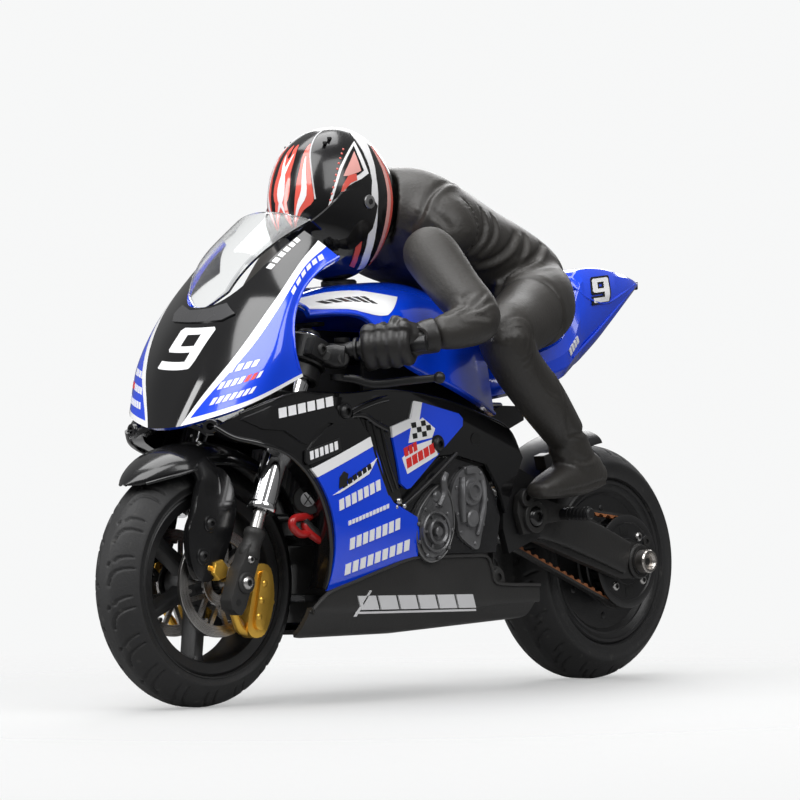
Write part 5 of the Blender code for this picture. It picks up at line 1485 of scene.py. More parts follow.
# ---- belly pan ----------------------------------------------------------
def pan_section(x, top):
    """The pan's (y, z) outline at x, from one upper edge round the floor to the other."""
    foot = 15.4 + max(0.0, 22.0 - x) * 0.045
    side = [(22.6, top), (22.75, 0.5 * (top + 22.0)), (22.6, 21.8), (21.4, foot + 4.4), (18.4, foot + 1.1),
            (15.0, foot + 0.1), (11.0, foot)]
    return side + [(0.0, foot)] + [(-y, z) for y, z in reversed(side)]


def belly_pan():
    stations = ((57.0, 21.8), (53.0, 24.8), (49.6, 26.6), (42.0, 28.6), (34.0, 30.8), (22.0, 33.7),
                (12.0, 33.9), (2.0, 33.9), (-4.6, 33.6), (-6.6, 30.6), (-7.6, 27.4), (-12.0, 26.6),
                (-18.0, 26.4), (-24.6, 26.2))
    rows = []
    for x, top in stations:
        ahead = max(0.0, x - 36.0)
        section = curve_points([Vector((0.0, y, z)) for y, z in pan_section(x, top)], 4)
        line = []
        for p in section:
            notch = min(1.0, max(0.0, (17.0 - abs(p.y)) / 12.0))
            line.append(Vector((x - ahead * notch, p.y, p.z)))
        rows.append(line)
    shell = skin(rows, -1.1)
    left_top = [row[0] for row in rows]
    roll = cable([(p.x, p.y + 0.25, p.z - 0.2) for p in left_top], 0.42, 4, 8)
    piece("belly_pan_moulded", joined(shell, roll, mirrored(roll)), PAN_GREY, "chassis", "belly_pan",
          sharp=32.0, slot="black_plastic")
    ear = [prism(smooth_outline([(-7.2, 26.4), (-6.8, 29.6), (-8.4, 31.0), (-11.0, 30.6), (-12.4, 28.4),
                                 (-12.2, 26.2)], 3), 20.6, 21.8, 0.3),
           turned([(1.0, 20.2), (2.2, 20.2), (2.2, 22.2), (1.9, 22.4), (1.0, 22.4)],
                  Vector((-9.7, 0.0, 28.2)), SIDE, 28)]
    both_sides("pan_ear", joined(*ear), PAN_GREY, "chassis")

    def place(x, z, height):
        return Vector((x, 23.0 + height - 0.02 * max(0.0, 21.0 - z) ** 2, z))

    frame = [[(42.4, 20.2), (37.0, 26.2), (36.6, 26.1), (41.9, 20.2)]]
    blocks = lettering((40.6, 21.7), (-0.6, 21.0), 3.3, 6, lean=-0.35, gap=0.12)
    line = [[(41.9, 20.8), (-0.2, 20.2), (-0.1, 20.7), (41.6, 21.3)]]
    both_sides("pan_print", printed(frame + blocks + line, place, 3.0, 0.08, -0.5), PALE_GREY, "chassis")


side_fairings()
engine_covers()
belly_pan()


# ---- tank, seat and tail ------------------------------------------------
TANK_ROWS = (
    ((50.6, 0.0, 95.6), (50.6, 9.0, 95.0), (50.0, 14.6, 93.2), (49.6, 16.4, 91.2)),
    ((36.0, 0.0, 98.6), (36.0, 9.6, 98.0), (36.0, 18.0, 94.6), (35.0, 20.4, 91.0)),
    ((24.0, 0.0, 100.4), (24.0, 9.8, 99.6), (24.0, 20.8, 93.0), (24.0, 24.0, 79.8)),
    ((8.0, 0.0, 101.2), (8.0, 9.0, 100.4), (8.0, 18.8, 93.0), (8.0, 22.8, 75.2)),
    ((-6.0, 0.0, 98.4), (-6.0, 8.0, 97.4), (-6.0, 14.8, 91.0), (-6.0, 19.6, 71.4)),
    ((-17.4, 0.0, 91.6), (-17.4, 6.4, 90.8), (-17.4, 11.6, 86.0), (-17.4, 15.0, 68.6)),
)
TANK = [mirror_row(row) for row in TANK_ROWS]


def tank_at(across, along, height=0.0):
    return sheet_at(TANK, across, along, height)


def tank():
    rows = []
    steps, columns = 50, 72
    for i in range(steps + 1):
        along = 5.0 * i / steps
        rows.append([tank_at(-3.0 + 6.0 * j / columns, along) for j in range(columns + 1)])
    shell = skin(rows, -1.2)
    edge = cable([tank_at(2.97, along, 0.0) for along in (0.0, 0.5, 1.0, 1.5, 2.0, 3.0, 4.0, 5.0)], 0.5, 5,
                 10)
    front = cable([tank_at(across, 0.03, 0.0) for across in (-2.9, -2.0, -1.0, 0.0, 1.0, 2.0, 2.9)], 0.5, 5,
                  10)
    piece("tank_cover_painted", joined(shell, edge, mirrored(edge), front), BLUE, "chassis", "tank_cover",
          sharp=45.0, slot="blue_paint")

    def raised(side):
        def place(s, t, height):
            return tank_at(s * side, t, height)
        return place

    for name, side in LEFT_RIGHT:
        white = [(1.2, 0.0), (2.34, 0.0), (2.6, 0.5), (2.66, 1.0), (2.2, 1.7), (1.6, 2.3), (1.3, 1.6),
                 (1.15, 0.8)]
        piece("tank_white_" + name, sticker(white, raised(side), 0.15, -0.5, 0.12), WHITE, "chassis",
              bevel=0.2)
        marks = lettering((1.75, 0.3), (1.62, 1.5), 0.3, 6)
        piece("tank_print_" + name, printed(marks, raised(side), 0.3, 0.2, 0.0), DARK_GREY_GLOSS, "chassis")
        more = lettering((2.2, 2.4), (2.12, 3.1), 0.26, 6)
        piece("tank_side_print_" + name, printed(more, raised(side), 0.3, 0.08, -0.2), WHITE, "chassis")
    lid = [turned([(0.0, 0.0), (4.4, 0.0), (4.4, 1.0), (4.0, 1.4), (2.9, 1.4), (2.7, 1.1), (0.0, 1.1)],
                  tank_at(0.0, 2.1, -0.2), Vector((0.03, 0.0, 1.0)), 48)]
    for k in range(5):
        angle = 2.0 * math.pi * k / 5.0
        bolt = tank_at(0.0, 2.1, 1.0) + Vector((3.4 * math.cos(angle), 3.4 * math.sin(angle), 0.2))
        lid.append(dome(bolt, UP, 0.45, 0.3, 12))
    piece("tank_cap", joined(*lid), SATIN_BLACK, "chassis")


def even_ring(x, left):
    """A ring at x from its left half of (y, z) points, starting at the mirror image of the first."""
    right = [(-y, z) for y, z in left]
    return [Vector((x, y, z)) for y, z in right[:1] + left + right[:0:-1]]


def seat_and_tail():
    rows = []
    for x, low, high, half in ((-19.0, 82.2, 85.6, 9.5), (-26.0, 83.9, 88.0, 12.0), (-36.0, 86.6, 91.4, 12.5),
                               (-44.0, 89.4, 95.6, 12.5), (-51.4, 94.9, 99.4, 11.0)):
        rows.append(even_ring(x, [(half, low), (half - 0.8, high - 1.0), (half - 2.5, high)]))
    smooth = [curve_points([row[k] for row in rows], 5) for k in range(6)]
    seat = loft([[column[i] for column in smooth] for i in range(len(smooth[0]))])
    piece("seat_pad_foam", seat, FOAM, "chassis", "seat_pad", bevel=0.5, sharp=50.0, slot="seat_foam")

    stations = ((-19.0, 72.0, 81.4, 9.0), (-30.0, 74.0, 83.8, 13.0), (-46.0, 77.0, 88.8, 13.2),
                (-52.6, 79.6, 94.0, 12.0), (-58.0, 82.4, 104.8, 10.8), (-62.0, 84.6, 108.3, 10.2),
                (-72.0, 91.4, 109.2, 8.6), (-84.0, 101.0, 108.0, 6.2), (-90.4, 105.0, 106.7, 3.6))
    rows = []
    for x, low, high, half in stations:
        third = (high - low) / 3.0
        rows.append(even_ring(x, [(half * 0.62, low), (half * 0.86, low + third * 0.35), (half, low + third),
                                  (half * 0.98, high - third * 1.1), (half * 0.84, high - third * 0.35),
                                  (half * 0.62, high)]))
    columns = [curve_points([row[k] for row in rows], 7) for k in range(12)]
    body = loft([[column[i] for column in columns] for i in range(len(columns[0]))])
    piece("tail_cover_painted", body, BLUE, "chassis", "tail_cover", bevel=0.3, sharp=28.0, slot="blue_paint")

    def tail_side(x, z):
        """Half width of the tail's side face."""
        for (x0, low0, high0, half0), (x1, low1, high1, half1) in zip(stations, stations[1:]):
            if x1 <= x <= x0:
                t = (x0 - x) / (x0 - x1)
                low = low0 + (low1 - low0) * t
                high = high0 + (high1 - high0) * t
                half = half0 + (half1 - half0) * t
                up = (z - low) / (high - low)
                swell = 0.1 * min(1.0, max(0.0, up / 0.33))
                return half * (0.9 + swell - 0.17 * max(0.0, (up - 0.62) / 0.27))
        return 4.0

    for name, side in LEFT_RIGHT:
        def nine_place(s, t, height, side=side):
            run = s if side > 0 else 1.0 - s
            x, z = -63.4 - 7.8 * run - 1.4 * t, 99.2 + 6.6 * t + 1.0 * run
            return Vector((x, (tail_side(x, z) + 0.25 + height) * side, z))

        def border_place(s, t, height, side=side):
            return nine_place(s, t, height - 0.12)

        piece("tail_number_" + name, number_nine(nine_place, -1.0, 0.1), WHITE, "chassis")
        piece("tail_number_edge_" + name, number_nine(border_place, -1.0, 0.1, 0.1), BLACK_PRINT_AND_SHADE, "chassis")

        def flat_place(x, z, height, side=side):
            return Vector((x, (tail_side(x, z) + 0.2 + height) * side, z))

        marks = lettering((-50.4, 84.6), (-55.4, 88.8), 1.6, 4)
        piece("tail_badge_" + name, printed(marks, flat_place, 3.0, 0.1, -0.6), WHITE, "chassis")
        for number, path in enumerate((((-57.0, 103.4), (-62.0, 100.2), (-70.0, 99.6), (-79.0, 102.6),
                                        (-87.0, 105.6)),
                                       ((-52.0, 84.4), (-58.0, 87.4), (-66.0, 92.2), (-76.0, 98.6),
                                        (-86.0, 104.6)))):
            line = cable([(x, tail_side(x, z) * side, z) for x, z in path], 0.34, 6, 10)
            piece("tail_crease_%s_%d" % (name, number), line, BLUE, "chassis")
    light = [Vector((-89.6, y, z)) for y, z in ((-3.2, 104.4), (3.2, 104.4), (3.2, 106.6), (-3.2, 106.6))]
    lamp = loft([light, [p + Vector((-1.4, 0.0, 0.1)) for p in light]])
    piece("tail_end_cap", lamp, GLOSS_SOFT, "chassis", bevel=0.3)


# ---- rear suspension, pegs and inner parts ------------------------------
def swingarm():
    outline = [(-16.4, 46.2), (-19.4, 48.0), (-25.0, 48.6), (-36.0, 46.6), (-48.6, 43.4), (-58.0, 39.4),
               (-66.0, 36.4), (-72.0, 35.4), (-74.8, 34.0), (-75.6, 30.4), (-74.4, 27.6), (-71.0, 26.4),
               (-62.0, 26.6), (-46.0, 31.4), (-30.0, 36.4), (-17.2, 38.6)]
    parts = []
    for side in (1.0, -1.0):
        parts.append(prism(outline, 16.0 * side, 18.6 * side, 0.45))
        spine = [(-20.0, 42.9, 18.4), (-34.0, 40.9, 19.6), (-50.0, 36.6, 19.4), (-64.0, 32.0, 18.6)]
        ridge = limb([(Vector((x, y * side, z)), half, 1.2) for (x, z, y), half in
                      zip(spine, (4.2, 4.4, 4.6, 4.3))], 6, 24, UP, 5.0)
        parts.append(ridge)
        parts.append(turned([(1.6, 16.0 * side), (4.6, 16.0 * side), (4.6, 19.2 * side), (4.2, 19.6 * side),
                             (1.6, 19.6 * side)], REAR_AXLE, SIDE, 48))
        parts.append(turned([(1.6, 16.0 * side), (4.3, 16.0 * side), (4.3, 19.0 * side), (3.9, 19.4 * side),
                             (1.6, 19.4 * side)], SWING_PIVOT, SIDE, 48))
        parts.append(turned([(0.7, 9.6), (1.5, 9.6), (1.5, 10.2), (0.7, 10.2)],
                            Vector((-72.6, side * 9.0, 36.2)),
                            SIDE, 16))
    cross = prism([(-29.6, 45.2), (-36.2, 45.0), (-36.2, 39.2), (-29.6, 39.6)], -16.6, 16.6, 0.5)
    piece("swingarm_moulded", joined(cross, *parts), MATT_BLACK, "swing_arm", "swingarm", sharp=35.0,
          slot="black_plastic")
    ends = [rod(REAR_AXLE - SIDE * 21.0, REAR_AXLE + SIDE * 21.0, 1.5, 32)]
    sockets = []
    for side in (1.0, -1.0):
        ends.append(turned([(1.7, 19.6 * side), (3.05, 19.6 * side), (3.05, 22.3 * side), (2.8, 22.7 * side),
                            (2.2, 22.7 * side), (1.9, 22.2 * side), (1.7, 22.0 * side)], REAR_AXLE, SIDE, 56))
        ends.append(disc(1.75, 21.0 * side, 21.6 * side, REAR_AXLE, SIDE, 40))
        # Near-black six-sided discs and thin rings: painted shade in the axle's sockets and in the gap round
        # each end.
        sockets.append(disc(0.95, 21.6 * side, 21.8 * side, REAR_AXLE, SIDE, 6))
        sockets.append(turned([(3.1, 19.5 * side), (3.6, 19.5 * side), (3.6, 19.9 * side),
                               (3.1, 19.9 * side)],
                              REAR_AXLE, SIDE, 40))
    piece("rear_axle_turned", joined(*ends), AXLE_STEEL, "swing_arm", "rear_axle", slot="steel", sharp=30.0)
    piece("rear_axle_socket", joined(*sockets), BLACK_PRINT_AND_SHADE, "swing_arm")


def hugger():
    rows = []
    for step in range(25):
        angle = math.radians(38.0 + 44.0 * step / 24.0)
        out = outward(angle)
        line = []
        for k in range(-12, 13):
            share = k / 12.0
            y = 10.8 * math.sin(share * math.pi / 2.0)
            r = 35.8 - 4.2 * (1.0 - math.cos(share * math.pi / 2.0))
            line.append(REAR_AXLE + out * r + SIDE * y)
        rows.append(line)
    parts = [skin(rows, -1.1)]
    for side in (1.0, -1.0):
        parts.append(prism([(-44.0, 49.4), (-50.0, 49.0), (-53.0, 57.0), (-47.0, 58.4)], 9.6 * side,
                           11.0 * side, 0.3))
        parts.append(block(Vector((-47.0, 13.6 * side, 50.2)), (6.0, 7.0, 2.0)))
        parts.append(block(Vector((-43.6, 8.6 * side, 57.4)), (3.0, 3.6, 3.8), 0.3))
    piece("rear_hugger_moulded", joined(*parts), SATIN_BLACK, "swing_arm", "rear_hugger", sharp=40.0,
          slot="black_plastic")


PEG_BAR = Vector((-32.6, 0.0, 43.6))
PEG_BOLT = Vector((-21.0, 0.0, 43.0))


def foot_pegs():
    outline = [(-15.2, 44.0), (-15.8, 48.2), (-18.4, 50.2), (-21.4, 50.0), (-26.0, 47.4), (-31.0, 46.2),
               (-35.2, 45.4), (-36.4, 43.8), (-35.6, 42.0), (-31.0, 41.8), (-26.0, 41.2), (-20.6, 39.0),
               (-17.4, 38.6)]
    plate = prism(outline, 22.3, 24.0, 0.4)
    boss = tube(PEG_BOLT + SIDE * 23.8, PEG_BOLT + SIDE * 25.2, 4.0, 2.7, 40)
    peg_parts = [turned([(0.0, 23.6), (1.5, 23.6), (1.5, 33.0), (1.1, 33.4), (0.0, 33.4)], PEG_BAR,
                        SIDE, 32)]
    for k in range(6):
        y = 26.0 + 1.2 * k
        peg_parts.append(turned([(1.3, y), (1.75, y + 0.1), (1.75, y + 0.55), (1.3, y + 0.65)],
                                PEG_BAR, SIDE, 32))
    both_sides("peg_hanger", joined(plate, boss), MATT_BLACK, "chassis", "foot_peg", slot="aluminium")
    both_sides("foot_peg_bar", joined(*peg_parts), SATIN_BLACK, "chassis")
    bolt = joined(rod(PEG_BOLT + SIDE * 16.2, PEG_BOLT + SIDE * 25.0, 1.5),
                  socket_screw(PEG_BOLT + SIDE * 24.6, SIDE, 2.5, 1.4))
    both_sides("swing_pivot_bolt", bolt, [GLOSS_SOFT, BLACK_PRINT_AND_SHADE], "chassis", "swing_pivot", slot="steel")
    lug = turned([(0.9, 24.0), (2.2, 24.0), (2.2, 25.2), (2.0, 25.4), (0.9, 25.4)],
                 Vector((-17.8, 0.0, 47.8)), SIDE, 32)
    both_sides("peg_lug", lug, MATT_BLACK, "chassis")


SHOCK = Vector((-31.0, 0.0, 0.0))


def shock():
    body = joined(tube(SHOCK + UP * 60.0, SHOCK + UP * 71.8, 3.0, 1.5),
                  turned([(0.0, 70.3), (4.3, 70.3), (4.4, 70.6), (4.4, 72.2), (4.1, 72.6), (0.0, 72.6)],
                         SHOCK, UP, 40))
    piece("shock_body_turned", body, ALUMINIUM, "chassis", "shock_body", slot="aluminium")
    rod_parts = [rod(SHOCK + UP * 45.8, SHOCK + UP * 66.0, 1.1, 24),
                 turned([(0.0, 49.0), (4.2, 49.0), (4.4, 49.3), (4.4, 50.7), (4.0, 51.0), (0.0, 51.0)],
                        SHOCK, UP, 40)]
    piece("shock_rod_turned", joined(*rod_parts), STEEL, "shock_piston", "shock_rod", slot="steel")


CARRIED_FINISH = {
    "main_frame": SATIN_BLACK, "battery_tray": MATT_BLACK, "battery_pack": WRAP,
    "speed_controller": SATIN_BLACK, "steering_servo": SATIN_BLACK, "radiator": ENGINE_SHEEN_GREY,
    "shock_spring": GOLD,
}


def inner_parts():
    """Ribs, wires, stay, plates and shelf round the carried-over inner nodes."""
    fins = [block(Vector((24.0, y, 49.9)), (18.0, 0.9, 1.2)) for y in (-8.0, -5.3, -2.7, 0.0, 2.7, 5.3, 8.0)]
    piece("controller_fins", joined(*fins), ALUMINIUM, "chassis")
    gear = joined(disc(2.0, 88.4, 89.8, Vector((35.0, 0.0, 0.0)), UP, 24),
                  block(Vector((35.0, 0.0, 90.2)), (2.4, 12.0, 1.0)))
    piece("servo_horn", gear, MATT_BLACK, "chassis")
    lines = [block(Vector((38.5, k * 1.6 - 16.0, 52.4)), (0.3, 0.5, 15.0), -0.25) for k in range(21)]
    piece("radiator_fins", joined(*lines), STEEL_DARK, "chassis")
    for name, colour, shift in (("red", WIRE_RED, 0.0), ("black", WIRE_BLACK, 2.6)):
        runs = [cable([(30.0, 14.0, 37.4), (38.0, 18.0, 36.6 + shift * 0.4), (45.0, 18.8, 37.2 + shift * 0.4),
                       (50.0, 18.8, 38.4 + shift * 0.5), (54.0, 18.4, 41.4 + shift * 0.6),
                       (51.0, 17.4, 44.6), (44.0, 14.8, 46.6)], 0.95, 8, 14)]
        if name == "red":
            runs.append(cable([(46.0, 15.0, 44.0), (52.0, 18.0, 43.8), (57.6, 18.8, 43.4), (58.6, 18.9, 41.6),
                               (56.0, 18.8, 39.8), (52.6, 18.4, 40.0), (48.0, 16.0, 41.0)], 0.95, 8, 14))
        piece("battery_wire_" + name, joined(*runs), colour, "chassis")
    slanted = Vector((0.7, 0.7, 0.0))
    stay = joined(turned([(0.0, 0.0), (3.6, 0.0), (3.6, 1.0), (3.2, 1.4), (0.0, 1.4)],
                         Vector((52.6, 18.2, 47.8)), slanted, 32),
                  limb([(Vector((52.0, 17.6, 47.8)), 1.6, 1.6), (Vector((44.6, 15.0, 52.0)), 1.6, 1.6),
                        (Vector((39.6, 8.0, 58.0)), 1.6, 1.6)], 5, 14))
    piece("inner_stay", stay, SATIN_BLACK, "chassis")
    spot = Vector((53.5, 19.1, 47.8))
    screw = turned([(0.0, 0.0), (1.9, 0.0), (1.7, 0.7), (0.0, 0.9)], spot, slanted, 28)
    facing = spot + Vector((0.64, 0.64, 0.0))
    # The cross in the screw head is two near-black blocks: painted shade in the recess.
    cross = [block(facing, (0.3, 0.3, 3.0), 0.6, -0.785), block(facing, (0.3, 0.3, 3.0), -0.6, -0.785)]
    piece("inner_screw", screw, CHROME, "chassis")
    piece("inner_screw_cross", joined(*cross), BLACK_PRINT_AND_SHADE, "chassis")
    plate = prism([(27.0, 86.0), (28.0, 66.0), (4.0, 64.0), (-11.0, 67.0), (-15.0, 73.0), (-8.0, 86.0)],
                  11.4, 12.6, 0.2)
    both_sides("frame_plate", plate, SATIN_BLACK, "chassis")
    wall = block(Vector((37.2, 0.0, 31.0)), (2.4, 34.0, 12.0))
    hole = block(Vector((37.2, 11.6, 31.0)), (6.0, 6.4, 6.4))
    piece("battery_stop", combine(wall, [hole, mirrored(hole)], "DIFFERENCE"), MATT_BLACK, "chassis",
          bevel=0.2)
    shelf = prism([(30.0, 42.6), (37.6, 42.6), (38.4, 43.2), (38.4, 44.2), (30.0, 44.2)], -15.0, 15.0)
    piece("wire_shelf", shelf, SATIN_BLACK, "chassis", bevel=0.3)


tank()
seat_and_tail()
swingarm()
hugger()
foot_pegs()
shock()
inner_parts()
for node_name, carried_finish in CARRIED_FINISH.items():
    for slot_of in bpy.data.objects[node_name].material_slots:
        slot_of.link = "OBJECT"
        slot_of.material = carried_finish


# ---- rider --------------------------------------------------------------
VISUAL_SHOULDER = SHOULDER + Vector((7.0, -0.8, 0.6))
VISUAL_ELBOW = ELBOW + Vector((6.8, 0.0, -2.2))
HELMET_SQUARENESS = 2.2
HELMET_HALF_LONG = 18.2
HELMET_HALF_WIDE = 12.6
HELMET_HALF_TALL = 17.6


def helmet_point(ahead, across, above):
    return HELMET_CENTRE + HELMET_FORWARD * ahead + SIDE * across + HELMET_ABOVE * above


def helmet_at(along, around, grow=0.0):
    """A point of the helmet from its angle back to front and its angle round from the top."""
    along, around = math.radians(along), math.radians(around)
    ahead = -(HELMET_HALF_LONG + grow) * math.cos(along)
    size = max(0.0, math.sin(along)) ** 0.86
    sink = 1.6 * max(0.0, ahead) / 16.0 + 0.6
    power = 2.0 / HELMET_SQUARENESS
    across = math.copysign(abs(math.sin(around)) ** power,
                           math.sin(around)) * (HELMET_HALF_WIDE + grow) * size
    above = math.copysign(abs(math.cos(around)) ** power, math.cos(around)) * (HELMET_HALF_TALL + grow) * size
    return helmet_point(ahead, across, above - sink)


def helmet_ball(grow, steps=28, count=48):
    """The helmet's outer form, grown or shrunk evenly."""
    return loft([[helmet_at(180.0 * i / steps, 360.0 * k / count, grow) for k in range(count)]
                 for i in range(1, steps)])


def sculpted(mesh, voxel, rounds, strokes=()):
    """Melt joined solids into one skin, smooth it, and press creases into it.

    Each stroke is (points, depth, width): a groove with a low ridge along one side."""
    data = bpy.data.meshes.new("working")
    mesh.to_mesh(data)
    holder = bpy.data.objects.new("working", data)
    bpy.context.collection.objects.link(holder)
    melt = holder.modifiers.new("melt", "REMESH")
    melt.mode = "VOXEL"
    melt.voxel_size = voxel
    seen = holder.evaluated_get(bpy.context.evaluated_depsgraph_get())
    made = bmesh.new()
    made.from_mesh(seen.to_mesh())
    bpy.data.objects.remove(holder)
    for _ in range(rounds):
        bmesh.ops.smooth_vert(made, verts=made.verts, factor=0.5, use_axis_x=True, use_axis_y=True,
                              use_axis_z=True)
    made.normal_update()
    tree = BVHTree.FromBMesh(made)
    spots = np.array([v.co for v in made.verts])
    normals = np.array([v.normal for v in made.verts])
    moved = np.zeros(len(spots))
    for points, depth, width in strokes:
        line = [tree.find_nearest(p)[0] for p in curve_points([Vector(p) for p in points], 12)]
        count = len(line)
        best = np.full(len(spots), 1e9)
        reach = np.zeros(len(spots))
        above = np.zeros(len(spots))
        for i, point in enumerate(line):
            apart = spots - np.array(point)
            far = np.sqrt((apart ** 2).sum(1))
            near = far < best
            best[near] = far[near]
            share = i / max(1, count - 1)
            reach[near] = math.sin(math.pi * min(1.0, max(0.0, 0.08 + 0.84 * share))) ** 0.6
            above[near] = apart[near, 2]
        groove = -depth * np.exp(-(best / width) ** 2)
        ridge = 0.65 * depth * np.exp(-((best - 1.9 * width) / width) ** 2) * (above < 0.0)
        moved += (groove + ridge) * reach
    for vertex, shift, normal in zip(made.verts, moved, normals):
        vertex.co += Vector(normal * shift)
    return made


def beside(point, side, *steps):
    """Points a few steps away from one point, mirrored with the side."""
    return [point + Vector((x, y * side, z)) for x, y, z in steps]


def on_both(strokes):
    """The strokes and their mirror images."""
    flipped = [([(x, -y, z) for x, y, z in points], depth, width) for points, depth, width in strokes]
    return list(strokes) + flipped


def arm_line(side, grow=0.0):
    start, bend = VISUAL_SHOULDER, VISUAL_ELBOW
    points = [(start + Vector((-0.6, -3.0, 2.4)), 5.2, 5.6), (start, 6.6, 7.0),
              (start + (bend - start) * 0.5 + Vector((-0.6, 0.6, 0.0)), 6.1, 6.3),
              (bend + Vector((-1.4, 0.0, 1.6)), 5.4, 5.6), (bend + (WRIST - bend) * 0.3, 4.9, 5.0),
              (bend + (WRIST - bend) * 0.72, 3.9, 3.9), (WRIST + (bend - WRIST) * 0.18, 3.0, 2.9)]
    return [(at_side(p, side), a + grow, b + grow) for p, a, b in points]


def leg_line(side):
    down = ANKLE - KNEE
    points = [(HIP + Vector((1.0, -3.0, -0.6)), 8.4, 8.6), (HIP + (KNEE - HIP) * 0.36, 8.8, 9.2),
              (HIP + (KNEE - HIP) * 0.7, 8.0, 8.4), (KNEE + Vector((0.2, 0.0, 0.0)), 6.9, 6.9),
              (KNEE + down * 0.22 + Vector((1.4, 0.2, -1.0)), 6.2, 6.4), (KNEE + down * 0.55, 5.8, 6.5),
              (ANKLE + Vector((1.2, 0.0, 3.2)), 4.7, 5.4)]
    return [(at_side(p, side), a, b) for p, a, b in points]


def torso():
    stations = [(Vector((16.0, 0.0, 116.0)), 7.0, 6.6), (Vector((10.0, 0.0, 117.6)), 14.0, 11.0),
                (Vector((3.0, 0.0, 117.2)), 20.4, 14.2), (Vector((-8.0, 0.0, 114.4)), 20.0, 14.0),
                (Vector((-22.0, 0.0, 110.2)), 17.2, 13.6), (Vector((-36.0, 0.0, 106.0)), 16.6, 13.2),
                (Vector((-46.0, 0.0, 103.4)), 14.8, 11.2), (Vector((-52.0, 0.0, 102.6)), 9.0, 7.0)]
    room = [helmet_ball(0.9)]
    stubs = []
    for side in (1.0, -1.0):
        room.append(limb([(arm_line(side, 0.8)[0][0] + Vector((-0.4, -2.0 * side, 1.6)), 5.6, 6.0)]
                         + arm_line(side, 0.8)[1:5], 5, 28))
        near, far = at_side(HIP, side), at_side(KNEE, side)
        stubs.append(limb([(near + Vector((-2.0, -3.0 * side, 0.4)), 8.6, 9.2),
                           (near + (far - near) * 0.2, 9.6, 9.8), (near + (far - near) * 0.36, 9.6, 9.9),
                           (near + (far - near) * 0.44, 9.4, 9.7)], 5, 28, power=2.3))
        stubs.append(limb([(at_side(Vector((4.0, 8.0, 120.0)), side), 7.0, 7.4),
                           (at_side(Vector((2.0, 16.0, 115.4)), side), 7.6, 8.4),
                           (at_side(Vector((0.0, 19.6, 110.0)), side), 5.6, 6.4)], 5, 24))
    carved = combine(sculpted(joined(limb(stations, 5, 40), *stubs), 0.9, 6), room, "DIFFERENCE")
    neck = rod(helmet_point(-4.0, 0.0, -22.0), helmet_point(-3.0, 0.0, -8.0), 6.4, 32)
    strokes = on_both([
        ([(-1.9, 17.0, 119.4), (-2.3, 18.5, 114.6), (-1.2, 19.0, 109.0)], 0.75, 0.8),
        ([(-9.7, 16.0, 118.8), (-9.0, 18.0, 113.6), (-5.9, 19.0, 109.0)], 0.75, 0.8),
        ([(-15.6, 15.0, 118.2), (-14.5, 17.0, 114.1), (-10.0, 18.0, 109.3)], 0.7, 0.8),
        ([(-26.0, 14.0, 114.4), (-20.4, 15.5, 110.6), (-11.2, 16.5, 106.4)], 1.0, 0.9),
        ([(-31.0, 13.0, 114.2), (-28.6, 14.4, 111.0), (-26.0, 15.0, 108.2)], 0.7, 0.8),
        ([(-38.5, 12.0, 112.2), (-30.0, 15.0, 107.4), (-22.0, 16.0, 103.6), (-15.0, 16.4, 100.6)], 1.2, 0.95),
        ([(-36.0, 18.0, 106.4), (-30.0, 20.0, 103.8), (-25.0, 21.0, 101.6)], 0.5, 1.1),
        ([(14.0, 14.0, 113.6), (12.6, 17.0, 117.8), (7.6, 16.6, 122.0), (1.5, 15.0, 124.6),
          (-3.4, 13.0, 125.0)],
         0.8, 0.9),
        ([(11.4, 21.0, 119.4), (8.9, 23.0, 116.0), (7.8, 24.0, 113.6)], 0.5, 0.9),
    ])
    body = sculpted(joined(carved, neck), 0.62, 3, strokes)
    piece("rider_suit", body, SUIT, "chassis", "rider_torso", sharp=180.0, slot="suit")


